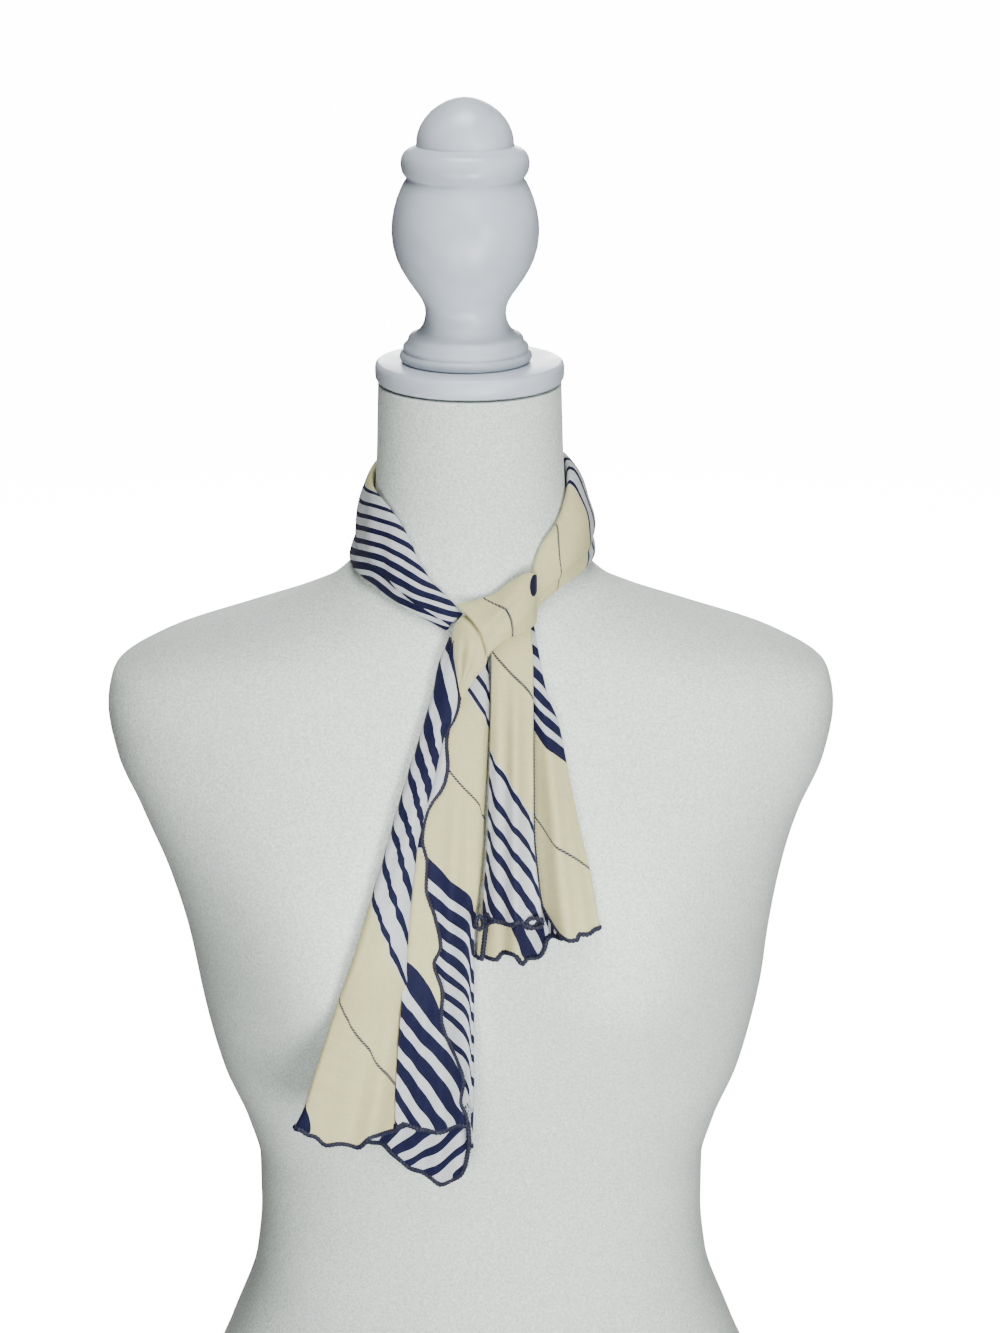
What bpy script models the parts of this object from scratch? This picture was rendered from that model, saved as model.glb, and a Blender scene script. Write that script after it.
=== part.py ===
"""Striped scarf tied in a loose half knot round the neck of a limbless dress form.

The scarf is one oblong of light cloth. Every stretch of it that shows is a thin folded wall:
three stretches round the neck, the wrap of the knot, and two pleated tails. All the tables
below are in millimetres, with the origin on the floor under the form, +X to the viewer's
right, -Y to the front and +Z up. The meshes are in metres.
"""

import math
from bisect import bisect_right

import bpy
import bmesh
from mathutils import Vector

MM = 0.001
GAP = 0.3                    # clearance between neighbouring pieces
WALL = 1.0                   # cloth thickness
SHARP_DEGREES = 50.0         # edges above this angle are shaded sharp

# ---------------------------------------------------------------- dress form
NECK_TOP = 709.0
PLATE_RADIUS = 50.0
PLATE_HEIGHT = 11.5
FINIAL_RADIUS = 38.5
FINIAL_HEIGHT = 137.0
NECK_AXIS_Y = -6.0           # the neck leans a little to the front
FINIAL_AXIS_X = -2.0         # and the finial is screwed in a little off centre
FORM_SIDES = 44              # points round a section of the torso
TURNED_SIDES = 36            # points round the plate and the finial
TALL_BAND = 30.0             # bands between sections taller than this get one more ring
FRONT_REACH = 0.98           # share of the half width that still counts as the front

# The padded torso: each row is one level section, a rounded oblong.
FORM_COLUMNS = ("height", "centre", "half_width", "front", "back", "squareness")
FORM_SECTIONS = (
    (0.0, 5.0, 158.0, 98.0, 110.0, 2.4),
    (14.0, 5.0, 168.0, 108.0, 120.0, 2.4),
    (50.0, 5.0, 172.0, 112.0, 126.0, 2.4),
    (95.0, 5.0, 165.0, 108.0, 118.0, 2.35),
    (135.0, 5.0, 150.0, 101.0, 104.0, 2.3),
    (188.0, 5.0, 132.0, 92.0, 86.0, 2.3),
    (228.0, 5.0, 128.0, 88.0, 80.0, 2.3),
    (255.0, 5.0, 128.0, 88.0, 82.0, 2.3),
    (285.0, 5.0, 135.0, 91.0, 86.0, 2.3),
    (320.0, 5.0, 148.0, 96.0, 92.0, 2.35),
    (368.0, 5.0, 158.0, 102.0, 99.0, 2.4),
    (405.0, 4.0, 163.0, 104.0, 103.0, 2.4),
    (441.0, 2.0, 171.0, 103.0, 106.0, 2.4),
    (476.0, 0.0, 183.0, 99.0, 107.0, 2.4),
    (505.0, 0.0, 195.0, 93.0, 105.0, 2.4),
    (530.0, 0.0, 199.0, 86.0, 101.0, 2.4),
    (548.0, 0.0, 196.0, 80.0, 96.0, 2.3),
    (562.0, 0.0, 176.0, 76.0, 91.0, 2.15),
    (575.0, 0.0, 139.0, 72.0, 86.0, 1.95),
    (587.0, 0.0, 103.0, 68.0, 80.0, 1.75),
    (598.0, 0.0, 78.0, 64.0, 73.0, 1.65),
    (610.0, 0.0, 64.0, 59.0, 66.0, 1.8),
    (626.0, 0.0, 55.0, 54.0, 60.0, 2.0),
    (650.0, 0.0, 51.0, 51.0, 56.0, 2.0),
    (NECK_TOP, 0.0, 48.5, 51.0, 49.0, 2.0),
)
# How far each level's centre lies behind the origin.
LEAN_COLUMNS = ("height", "shift")
FORM_LEAN = (
    (0.0, 0.0),
    (560.0, 0.0),
    (620.0, 2.0),
    (NECK_TOP, NECK_AXIS_Y),
)
BUST_SIDE = 84.0             # distance of each fullness from the centre line
BUST_LEVEL = 412.0
BUST_DEPTH = 34.0
BUST_SPREAD = 42.0
BUST_RISE = 62.0
BUST_FALL = 40.0

# Turned profiles, from the bottom up: height above the piece's foot and radius.
PLATE_PROFILE = (
    (0.0, 47.0),
    (1.5, 48.8),
    (4.0, PLATE_RADIUS),
    (9.5, PLATE_RADIUS),
    (11.0, 49.2),
    (PLATE_HEIGHT, 47.5),
)
FINIAL_PROFILE = (
    (0.0, 33.5),
    (1.5, 34.2),
    (4.5, 34.2),
    (5.5, 32.8),
    (8.5, 32.8),
    (10.0, 31.0),
    (13.0, 30.0),
    (15.0, 26.0),
    (18.5, 23.0),
    (25.0, 21.2),
    (31.5, 22.5),
    (38.0, 26.5),
    (48.0, 33.0),
    (57.5, 37.0),
    (67.0, FINIAL_RADIUS),
    (76.0, 38.0),
    (85.5, 35.5),
    (93.0, 32.0),
    (95.5, 30.5),
    (98.5, 32.0),
    (104.0, 33.2),
    (108.5, 32.0),
    (111.0, 29.5),
    (112.5, 25.5),
    (118.0, 24.8),
    (124.0, 22.3),
    (129.5, 18.0),
    (134.0, 11.5),
    (FINIAL_HEIGHT, 3.0),
)

# ---------------------------------------------------------------- scarf round the neck
# Each row is one section of the gathered cloth, from the knot round the back to the knot
# again: where its top and bottom edges lie on the form, as a direction round the neck (0 is
# the front, 90 the viewer's right) and a height, and how far the cloth stands off the form.
LOOP_COLUMNS = ("top_turn", "top", "bottom_turn", "bottom", "stand_off")
NECK_LOOP = (
    (31.0, 609.0, 31.0, 597.0, 6.0),
    (36.0, 620.0, 42.0, 603.0, 7.0),
    (44.0, 630.0, 55.0, 607.0, 9.0),
    (58.0, 638.0, 70.0, 609.5, 11.0),
    (74.0, 649.0, 84.0, 611.5, 13.0),
    (95.0, 660.0, 98.0, 617.0, 12.0),
    (120.0, 664.0, 120.0, 626.0, 10.0),
    (150.0, 666.0, 150.0, 632.0, 8.0),
    (180.0, 667.0, 180.0, 634.0, 7.0),
    (210.0, 665.0, 210.0, 631.0, 7.0),
    (240.0, 661.0, 240.0, 624.0, 8.0),
    (264.0, 657.0, 262.0, 615.0, 9.0),
    (284.0, 653.0, 283.0, 610.5, 9.0),
    (300.0, 650.0, 297.0, 608.0, 9.0),
    (314.0, 643.0, 308.0, 606.0, 8.0),
    (324.0, 634.0, 317.0, 602.5, 7.5),
    (332.0, 622.5, 325.0, 599.5, 7.0),
    (341.0, 612.5, 333.0, 596.5, 6.0),
    (350.0, 605.0, 342.0, 593.5, 5.0),
    (357.0, 598.0, 350.0, 590.0, 4.5),
)
# The stretches of the loop, as row positions in the table above.
LOOP_STRETCHES = (
    ("scarf_neck_right", 0.0, 5.0, "cream_cloth"),
    ("scarf_neck_back", 5.0, 11.0, "cream_cloth"),
    ("scarf_neck_left", 11.0, 19.0, "striped_cloth"),
)
# The folded section of the band: how far down it a point lies (0 is the top edge), and its
# distance from the form as a share of the stand-off and in millimetres more.
BAND_COLUMNS = ("down", "share", "more")
BAND_SECTION = (
    (0.62, 0.0, 1.3),
    (0.35, 0.0, 1.3),
    (0.04, 0.0, 1.4),
    (-0.01, 0.20, 1.6),
    (0.06, 0.50, 1.4),
    (0.25, 0.85, 0.8),
    (0.50, 1.00, 0.6),
    (0.70, 0.92, 0.6),
    (0.80, 0.70, 0.8),
    (0.92, 0.62, 0.6),
    (1.01, 0.30, 1.2),
    (0.96, 0.0, 1.4),
    (0.76, 0.0, 1.3),
)
LOOP_ROW_PITCH = 20.0        # the rows at the seams are about this far apart
BAND_STEPS = 3               # sections between two rows of the loop
TURN_HALVINGS = 24           # halvings of the search for a direction round the neck

# ---------------------------------------------------------------- knot
# The wrap crosses from the upper right to the lower left. Each row is one arched section
# across it: its top and bottom edges, how far each edge stands off the form, and how far
# the arch bulges in front of them.
KNOT_COLUMNS = ("top_x", "top_z", "bottom_x", "bottom_z", "top_off", "bottom_off", "bulge")
KNOT_ROWS = (
    (31.0, 613.0, 35.0, 601.0, 8.5, 9.5, 1.0),
    (28.0, 616.0, 34.5, 597.0, 8.0, 11.0, 6.0),
    (20.0, 614.5, 29.5, 593.5, 5.0, 11.5, 10.0),
    (13.0, 610.0, 22.0, 590.0, 2.5, 12.0, 12.0),
    (6.0, 607.0, 14.5, 585.5, 2.0, 12.5, 10.0),
    (0.5, 605.5, 10.0, 581.5, 3.0, 12.5, 7.0),
    (-3.5, 602.0, 5.0, 577.5, 6.5, 12.5, 7.5),
    (-6.5, 597.0, -1.5, 575.5, 8.0, 12.0, 6.0),
    (-9.5, 591.5, -8.0, 579.0, 8.0, 11.0, 1.5),
)
KNOT_STEPS = 2               # sections between two rows
KNOT_ARCH_POINTS = 12
KNOT_FULLNESS = 0.6          # below 1 the arch is fuller than a sine

# ---------------------------------------------------------------- tails
# A tail is a strip folded in pleats. Each row gives, at one height, where its folds lie from
# left to right; the strip runs through them in the order of the columns. A fold's level is
# how many layers of cloth lie behind the panel that follows it.
LONG_COLUMNS = ("height", "edge", "front_fold", "under_fold", "left_roll", "right_roll",
                "inner_edge")
LONG_FOLDS = (
    (586.0, -5.5, -7.0, -8.5, -11.5, 8.0, -4.0),
    (575.0, -5.5, -7.5, -9.5, -16.0, 9.5, -9.0),
    (563.0, -5.5, -9.0, -11.5, -18.5, 10.0, -12.0),
    (548.0, -7.5, -12.0, -15.0, -23.0, 9.8, -15.0),
    (526.0, -11.5, -17.0, -20.0, -30.7, 8.6, -22.0),
    (506.0, -20.0, -24.5, -23.0, -37.0, 8.2, -26.0),
    (478.0, -21.7, -36.0, -29.0, -45.7, 6.8, -32.0),
    (445.0, -17.0, -37.0, -32.0, -56.5, 3.0, -32.0),
    (418.0, -16.5, -32.5, -36.5, -65.4, 2.3, -32.0),
    (390.0, -12.5, -37.0, -31.0, -74.0, 2.2, -31.0),
    (360.0, -4.0, -39.0, -27.0, -83.0, 2.2, -29.0),
    (336.0, -1.0, -39.5, -26.0, -92.0, 2.1, -28.0),
    (292.0, -1.0, -39.5, -26.0, -97.0, -0.5, -28.0),
)
# Levels of the panels that start at the edge, the front fold and the under fold. The pleat
# turns over between the two heights below.
LONG_LEVELS_LOW = (4.0, 3.0, 2.0)
LONG_LEVELS_HIGH = (2.0, 3.0, 4.0)
LONG_TURN_LOW = 408.0
LONG_TURN_HIGH = 426.0
# The hem: how far along the columns a point lies, and its height.
HEM_COLUMNS = ("place", "height")
LONG_HEM = (
    (0.0, 330.5),
    (1.0, 336.0),
    (2.0, 336.0),
    (2.5, 327.5),
    (2.8, 329.5),
    (3.0, 336.0),
    (3.3, 332.0),
    (3.5, 315.0),
    (3.7, 301.5),
    (3.9, 294.0),
    (4.0, 308.0),
    (4.2, 323.0),
    (5.0, 330.0),
)

SHORT_COLUMNS = ("height", "edge", "right_roll", "left_roll", "left_pleat", "front_left",
                 "front_right", "right_pleat", "inner_edge")
SHORT_FOLDS = (
    (592.0, 28.0, 33.5, 11.5, 18.0, 11.7, 31.8, 24.5, 29.5),
    (575.0, 28.0, 37.0, 11.5, 18.0, 11.7, 33.0, 24.5, 30.0),
    (560.0, 29.0, 40.5, 11.5, 18.0, 11.5, 33.1, 24.5, 30.5),
    (547.0, 29.5, 46.0, 11.3, 18.0, 11.3, 33.1, 24.5, 31.0),
    (523.0, 30.0, 51.3, 10.6, 18.0, 10.4, 33.1, 24.5, 31.0),
    (495.0, 31.0, 57.5, 9.8, 18.0, 9.6, 33.2, 25.0, 32.0),
    (475.0, 33.0, 62.6, 8.4, 18.0, 8.4, 35.0, 25.0, 33.0),
    (459.0, 37.0, 65.6, 6.8, 17.5, 7.4, 37.0, 25.0, 36.0),
    (443.0, 50.0, 68.5, 5.0, 17.0, 6.8, 38.0, 25.0, 40.0),
    (420.0, 54.0, 70.0, 4.2, 17.0, 6.8, 38.0, 25.0, 41.0),
)
SHORT_LEVELS = (1.0, 0.0, 2.0, 3.0, 4.0, 3.0, 2.0)
SHORT_HEM = (
    (0.0, 443.0),
    (0.5, 445.5),
    (1.0, 446.0),
    (1.4, 438.0),
    (1.7, 431.0),
    (2.0, 423.0),
    (3.0, 430.0),
    (4.0, 451.0),
    (4.25, 448.0),
    (4.75, 450.0),
    (5.0, 450.5),
    (6.0, 440.0),
    (6.3, 429.0),
    (6.8, 433.0),
    (7.0, 438.0),
)
TAIL_CLEAR_TOP = 2.4         # back layer to the form under the knot
TAIL_CLEAR = 1.6             # and further down
CLEAR_LEVEL = 540.0
PITCH_TOP = 1.6              # layer to layer under the knot
PITCH_LOW = 2.7              # and below this level
PITCH_LEVEL = 500.0
TAIL_SECTIONS = 22
FOLD_POINTS = 3              # points that round a fold
FOLD_SHARE = 0.45            # most of a panel that one round fold may take
PANEL_STEP = 16.0            # longest step across a flat panel
KNOT_LEVEL = 630.0           # height that the tails fan out from
HANG_TOP = 590.0
HANG_STEPS = 12

# Name, colour and roughness of each finish.
FINISHES = (
    ("jersey", (0.72, 0.73, 0.71), 0.9),
    ("painted_wood", (0.82, 0.84, 0.86), 0.35),
    ("striped_cloth", (0.35, 0.38, 0.50), 0.6),
    ("cream_cloth", (0.72, 0.66, 0.50), 0.6),
)


# ---------------------------------------------------------------- curves through tables
def column(table, columns, name):
    place = columns.index(name)
    return [row[place] for row in table]


def curve_value(places, values, place):
    """Value at a place on the smooth curve through the rows, with no overshoot."""
    if place <= places[0]:
        return values[0]
    if place >= places[-1]:
        return values[-1]
    steps = [b - a for a, b in zip(places, places[1:])]
    slopes = [(b - a) / step for a, b, step in zip(values, values[1:], steps)]
    left = bisect_right(places, place) - 1

    def tangent(row):
        if row in (0, len(slopes)):
            return slopes[min(row, len(slopes) - 1)]
        before, after = slopes[row - 1], slopes[row]
        if before * after <= 0.0:
            return 0.0
        heavy = 2.0 * steps[row] + steps[row - 1]
        light = steps[row] + 2.0 * steps[row - 1]
        return (heavy + light) / (heavy / before + light / after)

    step = steps[left]
    t = (place - places[left]) / step
    hold = 2.0 * t ** 3 - 3.0 * t ** 2 + 1.0
    leave = (t ** 3 - 2.0 * t ** 2 + t) * step * tangent(left)
    arrive = (t ** 3 - t ** 2) * step * tangent(left + 1)
    return hold * values[left] + leave + (1.0 - hold) * values[left + 1] + arrive


class Table:
    """Rows with named columns, read at any place along the first column."""

    def __init__(self, columns, rows, places=None):
        rows = sorted(rows) if places is None else list(rows)
        self.places = [row[0] for row in rows] if places is None else places
        self.values = {name: column(rows, columns, name) for name in columns}

    def at(self, name, place):
        return curve_value(self.places, self.values[name], place)


def blend(low, high, share):
    return low + (high - low) * share


def smooth_share(value, low, high):
    share = min(1.0, max(0.0, (value - low) / (high - low)))
    return share * share * (3.0 - 2.0 * share)


# ---------------------------------------------------------------- the form's surface
FORM = Table(FORM_COLUMNS, FORM_SECTIONS)
LEAN = Table(LEAN_COLUMNS, FORM_LEAN)


def bust(x, height):
    away = (abs(x) - BUST_SIDE) / BUST_SPREAD
    above = height - BUST_LEVEL
    tall = above / (BUST_RISE if above > 0.0 else BUST_FALL)
    return BUST_DEPTH * math.exp(-0.5 * (away * away + tall * tall))


def form_point(height, angle):
    """Point of the torso at a height; the angle runs from the viewer's right to the back."""
    across = math.cos(angle)
    along = math.sin(angle)
    power = 2.0 / FORM.at("squareness", height)
    x = FORM.at("half_width", height) * math.copysign(abs(across) ** power, across)
    depth = FORM.at("back" if along > 0.0 else "front", height) * abs(along) ** power
    y = math.copysign(depth, along)
    if along < 0.0:
        y -= bust(x, height) * math.sqrt(-along)
    return Vector((x + FORM.at("centre", height), y + LEAN.at("shift", height), height))


def form_front(x, height):
    """How far in front of the origin the torso's front lies at x."""
    aside = x - FORM.at("centre", height)
    share = min(FRONT_REACH, abs(aside) / FORM.at("half_width", height))
    power = FORM.at("squareness", height)
    along = math.sqrt(1.0 - share ** power)
    depth = FORM.at("front", height) * (1.0 - share ** power) ** (1.0 / power)
    return depth + bust(aside, height) * math.sqrt(along) - LEAN.at("shift", height)


def neck_point(turn, height):
    """Point of the form in a level direction from the neck's axis; turn 0 is the front."""
    wanted = math.radians(turn)
    low, high = wanted - math.pi, wanted
    centre_y = LEAN.at("shift", height)
    for _ in range(TURN_HALVINGS):
        angle = (low + high) / 2.0
        point = form_point(height, angle)
        facing = math.atan2(point.x, centre_y - point.y)
        ahead = (facing - wanted + math.pi) % (2.0 * math.pi) - math.pi
        if ahead < 0.0:
            low = angle
        else:
            high = angle
    return form_point(height, angle)


def neck_normal(turn, height):
    step_round = neck_point(turn + 1.0, height) - neck_point(turn - 1.0, height)
    step_up = neck_point(turn, height + 1.0) - neck_point(turn, height - 1.0)
    return step_round.cross(step_up).normalized()


# ---------------------------------------------------------------- mesh helpers
def make_material(name, colour, roughness):
    material = bpy.data.materials.new(name)
    material.use_nodes = True
    shader = material.node_tree.nodes["Principled BSDF"]
    shader.inputs["Base Color"].default_value = (*colour, 1.0)
    shader.inputs["Roughness"].default_value = roughness
    shader.inputs["Metallic"].default_value = 0.0
    return material


def add_object(name, mesh_build, material):
    """Turn a bmesh in millimetres into an object in metres."""
    bmesh.ops.scale(mesh_build, vec=(MM, MM, MM), verts=mesh_build.verts)
    mesh = bpy.data.meshes.new(name)
    mesh_build.to_mesh(mesh)
    mesh_build.free()
    mesh.shade_smooth()
    mesh.set_sharp_from_angle(angle=math.radians(SHARP_DEGREES))
    mesh.materials.append(material)
    obj = bpy.data.objects.new(name, mesh)
    bpy.context.collection.objects.link(obj)
    return obj


def solid_of_rings(rings):
    """Closed solid through rings of points, with a flat cap on each end."""
    build = bmesh.new()
    loops = [[build.verts.new(point) for point in ring] for ring in rings]
    count = len(rings[0])
    for lower, upper in zip(loops, loops[1:]):
        for here in range(count):
            after = (here + 1) % count
            build.faces.new((lower[here], lower[after], upper[after], upper[here]))
    build.faces.new(reversed(loops[0]))
    build.faces.new(loops[-1])
    bmesh.ops.recalc_face_normals(build, faces=build.faces)
    return build


def turned_solid(profile, foot_height, axis_x, axis_y):
    """Solid turned on an upright axis from (height, radius) pairs."""
    rings = []
    for height, radius in profile:
        angles = [2.0 * math.pi * side / TURNED_SIDES for side in range(TURNED_SIDES)]
        rings.append([
            (axis_x + radius * math.cos(angle), axis_y + radius * math.sin(angle),
             foot_height + height)
            for angle in angles
        ])
    return solid_of_rings(rings)


def cloth_wall(sections):
    """Closed wall of cloth whose middle surface runs through rows of points."""
    rows = len(sections)
    count = len(sections[0])
    build = bmesh.new()
    faces_of_wall = []
    for side in (0.5, -0.5):
        grid = []
        for row in range(rows):
            before = sections[max(row - 1, 0)]
            after = sections[min(row + 1, rows - 1)]
            line = []
            for here in range(count):
                across = sections[row][min(here + 1, count - 1)] - sections[row][max(here - 1, 0)]
                along = after[here] - before[here]
                normal = across.cross(along).normalized()
                line.append(build.verts.new(sections[row][here] + normal * WALL * side))
            grid.append(line)
        faces_of_wall.append(grid)
    outer, inner = faces_of_wall
    for row in range(rows - 1):
        for here in range(count - 1):
            for grid in (outer, inner):
                build.faces.new((grid[row][here], grid[row][here + 1],
                                 grid[row + 1][here + 1], grid[row + 1][here]))
    for row in range(rows - 1):
        for here in (0, count - 1):
            build.faces.new((outer[row][here], outer[row + 1][here],
                             inner[row + 1][here], inner[row][here]))
    for here in range(count - 1):
        for row in (0, rows - 1):
            build.faces.new((outer[row][here], outer[row][here + 1],
                             inner[row][here + 1], inner[row][here]))
    bmesh.ops.recalc_face_normals(build, faces=build.faces)
    return build


# ---------------------------------------------------------------- dress form pieces
def build_torso(material):
    heights = []
    levels = column(FORM_SECTIONS, FORM_COLUMNS, "height")
    for low, high in zip(levels, levels[1:]):
        parts = 2 if high - low > TALL_BAND else 1
        heights += [blend(low, high, part / parts) for part in range(parts)]
    heights.append(levels[-1])
    angles = [2.0 * math.pi * side / FORM_SIDES for side in range(FORM_SIDES)]
    rings = [[form_point(height, angle) for angle in angles] for height in heights]
    add_object("form_torso", solid_of_rings(rings), material)


def build_turned_pieces(material):
    plate_foot = NECK_TOP + GAP
    finial_foot = plate_foot + PLATE_HEIGHT + GAP
    plate = turned_solid(PLATE_PROFILE, plate_foot, 0.0, NECK_AXIS_Y)
    finial = turned_solid(FINIAL_PROFILE, finial_foot, FINIAL_AXIS_X, NECK_AXIS_Y)
    add_object("neck_plate", plate, material)
    add_object("finial", finial, material)


# ---------------------------------------------------------------- scarf pieces
def band_section(loop, place):
    """One folded section of the cloth round the neck, as points off the form."""
    stand_off = loop.at("stand_off", place)
    points = []
    for down, share, more in BAND_SECTION:
        turn = blend(loop.at("top_turn", place), loop.at("bottom_turn", place), down)
        height = blend(loop.at("top", place), loop.at("bottom", place), down)
        off = share * stand_off + more
        points.append(neck_point(turn, height) + neck_normal(turn, height) * off)
    return points


def build_neck_loop(materials):
    loop = Table(LOOP_COLUMNS, NECK_LOOP, places=[float(row) for row in range(len(NECK_LOOP))])
    seam = 0.5 * GAP / LOOP_ROW_PITCH
    for name, first, last, cloth in LOOP_STRETCHES:
        start = first + (seam if first > 0.0 else 0.0)
        stop = last - (seam if last < len(NECK_LOOP) - 1 else 0.0)
        count = int(round(last - first)) * BAND_STEPS
        sections = [band_section(loop, blend(start, stop, step / count))
                    for step in range(count + 1)]
        add_object(name, cloth_wall(sections), materials[cloth])


def build_knot(material):
    knot = Table(KNOT_COLUMNS, KNOT_ROWS, places=[float(row) for row in range(len(KNOT_ROWS))])
    count = (len(KNOT_ROWS) - 1) * KNOT_STEPS
    sections = []
    for step in range(count + 1):
        place = step / KNOT_STEPS
        line = []
        for point in range(KNOT_ARCH_POINTS):
            share = point / (KNOT_ARCH_POINTS - 1)
            x = blend(knot.at("top_x", place), knot.at("bottom_x", place), share)
            z = blend(knot.at("top_z", place), knot.at("bottom_z", place), share)
            off = blend(knot.at("top_off", place), knot.at("bottom_off", place), share)
            off += knot.at("bulge", place) * math.sin(math.pi * share) ** KNOT_FULLNESS
            line.append(Vector((x, -form_front(x, z) - off, z)))
        sections.append(line)
    add_object("scarf_knot", cloth_wall(sections), material)


def fold_reach(folds, fold, depth_change):
    """How far a fold's round end takes from the panels beside it; 0 where the strip runs on."""
    before = folds[fold] - folds[fold - 1]
    after = folds[fold + 1] - folds[fold]
    if before * after >= 0.0:
        return 0.0
    return min(0.5 * abs(depth_change), FOLD_SHARE * abs(before), FOLD_SHARE * abs(after))


def folded_strip(folds, depths, panel_steps):
    """Points of a folded strip at one height: (x, depth, place along the strip)."""
    last = len(folds) - 1
    changes = [0.0] + [depths[fold] - depths[fold - 1] for fold in range(1, last)] + [0.0]
    reaches = [0.0] + [fold_reach(folds, fold, changes[fold]) for fold in range(1, last)] + [0.0]
    points = []
    for panel in range(last):
        way = math.copysign(1.0, folds[panel + 1] - folds[panel])
        start = folds[panel] + way * reaches[panel]
        stop = folds[panel + 1] - way * reaches[panel + 1]
        for step in range(panel_steps[panel] + 1):
            share = step / panel_steps[panel]
            points.append((blend(start, stop, share), depths[panel], panel + share))
        if panel == last - 1:
            break
        for step in range(1, FOLD_POINTS + 1):
            turn = math.pi * step / (FOLD_POINTS + 1)
            x = stop + way * reaches[panel + 1] * math.sin(turn)
            depth = depths[panel] + changes[panel + 1] * 0.5 * (1.0 - math.cos(turn))
            points.append((x, depth, float(panel + 1)))
    return points


def hang_depth(x, height):
    """Front of the form that cloth at x hangs from: the furthest point on its way down."""
    deepest = 0.0
    for step in range(HANG_STEPS + 1):
        level = blend(HANG_TOP, height, step / HANG_STEPS)
        fan = (KNOT_LEVEL - level) / (KNOT_LEVEL - height)
        deepest = max(deepest, form_front(x * fan, level))
    return deepest


def tail_sections(folds_table, names, levels_at, hem):
    """Sections down a pleated tail that hangs over the form's front."""
    hem_curve = Table(HEM_COLUMNS, hem)
    top = folds_table.places[-1]
    panel_steps = []
    for first, second in zip(names, names[1:]):
        pairs = zip(folds_table.values[first], folds_table.values[second])
        widest = max(abs(a - b) for a, b in pairs)
        panel_steps.append(max(1, math.ceil(widest / PANEL_STEP)))

    def strip_at(height):
        pitch = blend(PITCH_LOW, PITCH_TOP, smooth_share(height, PITCH_LEVEL, top))
        folds = [folds_table.at(name, height) for name in names]
        depths = [level * pitch for level in levels_at(height)]
        return folded_strip(folds, depths, panel_steps)

    places = [point[2] for point in strip_at(top)]
    sections = []
    for row in range(TAIL_SECTIONS + 1):
        line = []
        for index, place in enumerate(places):
            height = blend(top, hem_curve.at("height", place), row / TAIL_SECTIONS)
            x, depth, _ = strip_at(height)[index]
            clear = blend(TAIL_CLEAR, TAIL_CLEAR_TOP, smooth_share(height, CLEAR_LEVEL, top))
            line.append(Vector((x, -hang_depth(x, height) - clear - depth, height)))
        sections.append(line)
    return sections


def long_levels(height):
    share = smooth_share(height, LONG_TURN_LOW, LONG_TURN_HIGH)
    turned = [blend(low, high, share) for low, high in zip(LONG_LEVELS_LOW, LONG_LEVELS_HIGH)]
    return (*turned, 0.0, 1.0)


def short_levels(_height):
    return SHORT_LEVELS


def build_tails(materials):
    tails = (
        ("scarf_tail_long", LONG_COLUMNS, LONG_FOLDS, long_levels, LONG_HEM, "striped_cloth"),
        ("scarf_tail_short", SHORT_COLUMNS, SHORT_FOLDS, short_levels, SHORT_HEM, "cream_cloth"),
    )
    for name, columns, rows, levels_at, hem, cloth in tails:
        folds = Table(columns, rows)
        sections = tail_sections(folds, columns[1:], levels_at, hem)
        add_object(name, cloth_wall(sections), materials[cloth])


def main():
    for obj in list(bpy.data.objects):
        bpy.data.objects.remove(obj, do_unlink=True)
    materials = {name: make_material(name, colour, roughness)
                 for name, colour, roughness in FINISHES}
    build_torso(materials["jersey"])
    build_turned_pieces(materials["painted_wood"])
    build_neck_loop(materials)
    build_knot(materials["cream_cloth"])
    build_tails(materials)


main()
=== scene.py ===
"""Looks of a striped scarf tied in a loose half knot round the neck of a dress form.

All tables are in millimetres, with the origin on the floor under the form, +X to the viewer's
right, -Y to the front and +Z up. Meshes are made in metres.
"""

import math

import bpy
import numpy as np
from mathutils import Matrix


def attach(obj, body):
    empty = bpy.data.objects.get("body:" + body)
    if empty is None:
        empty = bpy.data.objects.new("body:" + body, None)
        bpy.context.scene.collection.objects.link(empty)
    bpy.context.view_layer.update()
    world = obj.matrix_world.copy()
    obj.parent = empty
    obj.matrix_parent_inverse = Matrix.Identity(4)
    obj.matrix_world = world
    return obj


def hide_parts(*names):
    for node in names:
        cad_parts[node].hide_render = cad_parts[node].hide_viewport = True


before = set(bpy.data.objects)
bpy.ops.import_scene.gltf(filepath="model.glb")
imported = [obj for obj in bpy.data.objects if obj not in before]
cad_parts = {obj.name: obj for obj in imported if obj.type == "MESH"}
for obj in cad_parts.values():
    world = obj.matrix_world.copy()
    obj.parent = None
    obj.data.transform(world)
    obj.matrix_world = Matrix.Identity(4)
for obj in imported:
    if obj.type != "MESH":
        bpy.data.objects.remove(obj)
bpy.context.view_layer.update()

MM = 0.001
CURVE_SAMPLES = 1500         # readings kept of each smooth curve

# ==================== sizes of the dress form
NECK_TOP = 709.0
PLATE_FOOT = 709.3
PLATE_HEIGHT = 11.5
FINIAL_FOOT = 721.1
NECK_AXIS_Y = -6.0
FINIAL_AXIS_X = -2.0

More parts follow.
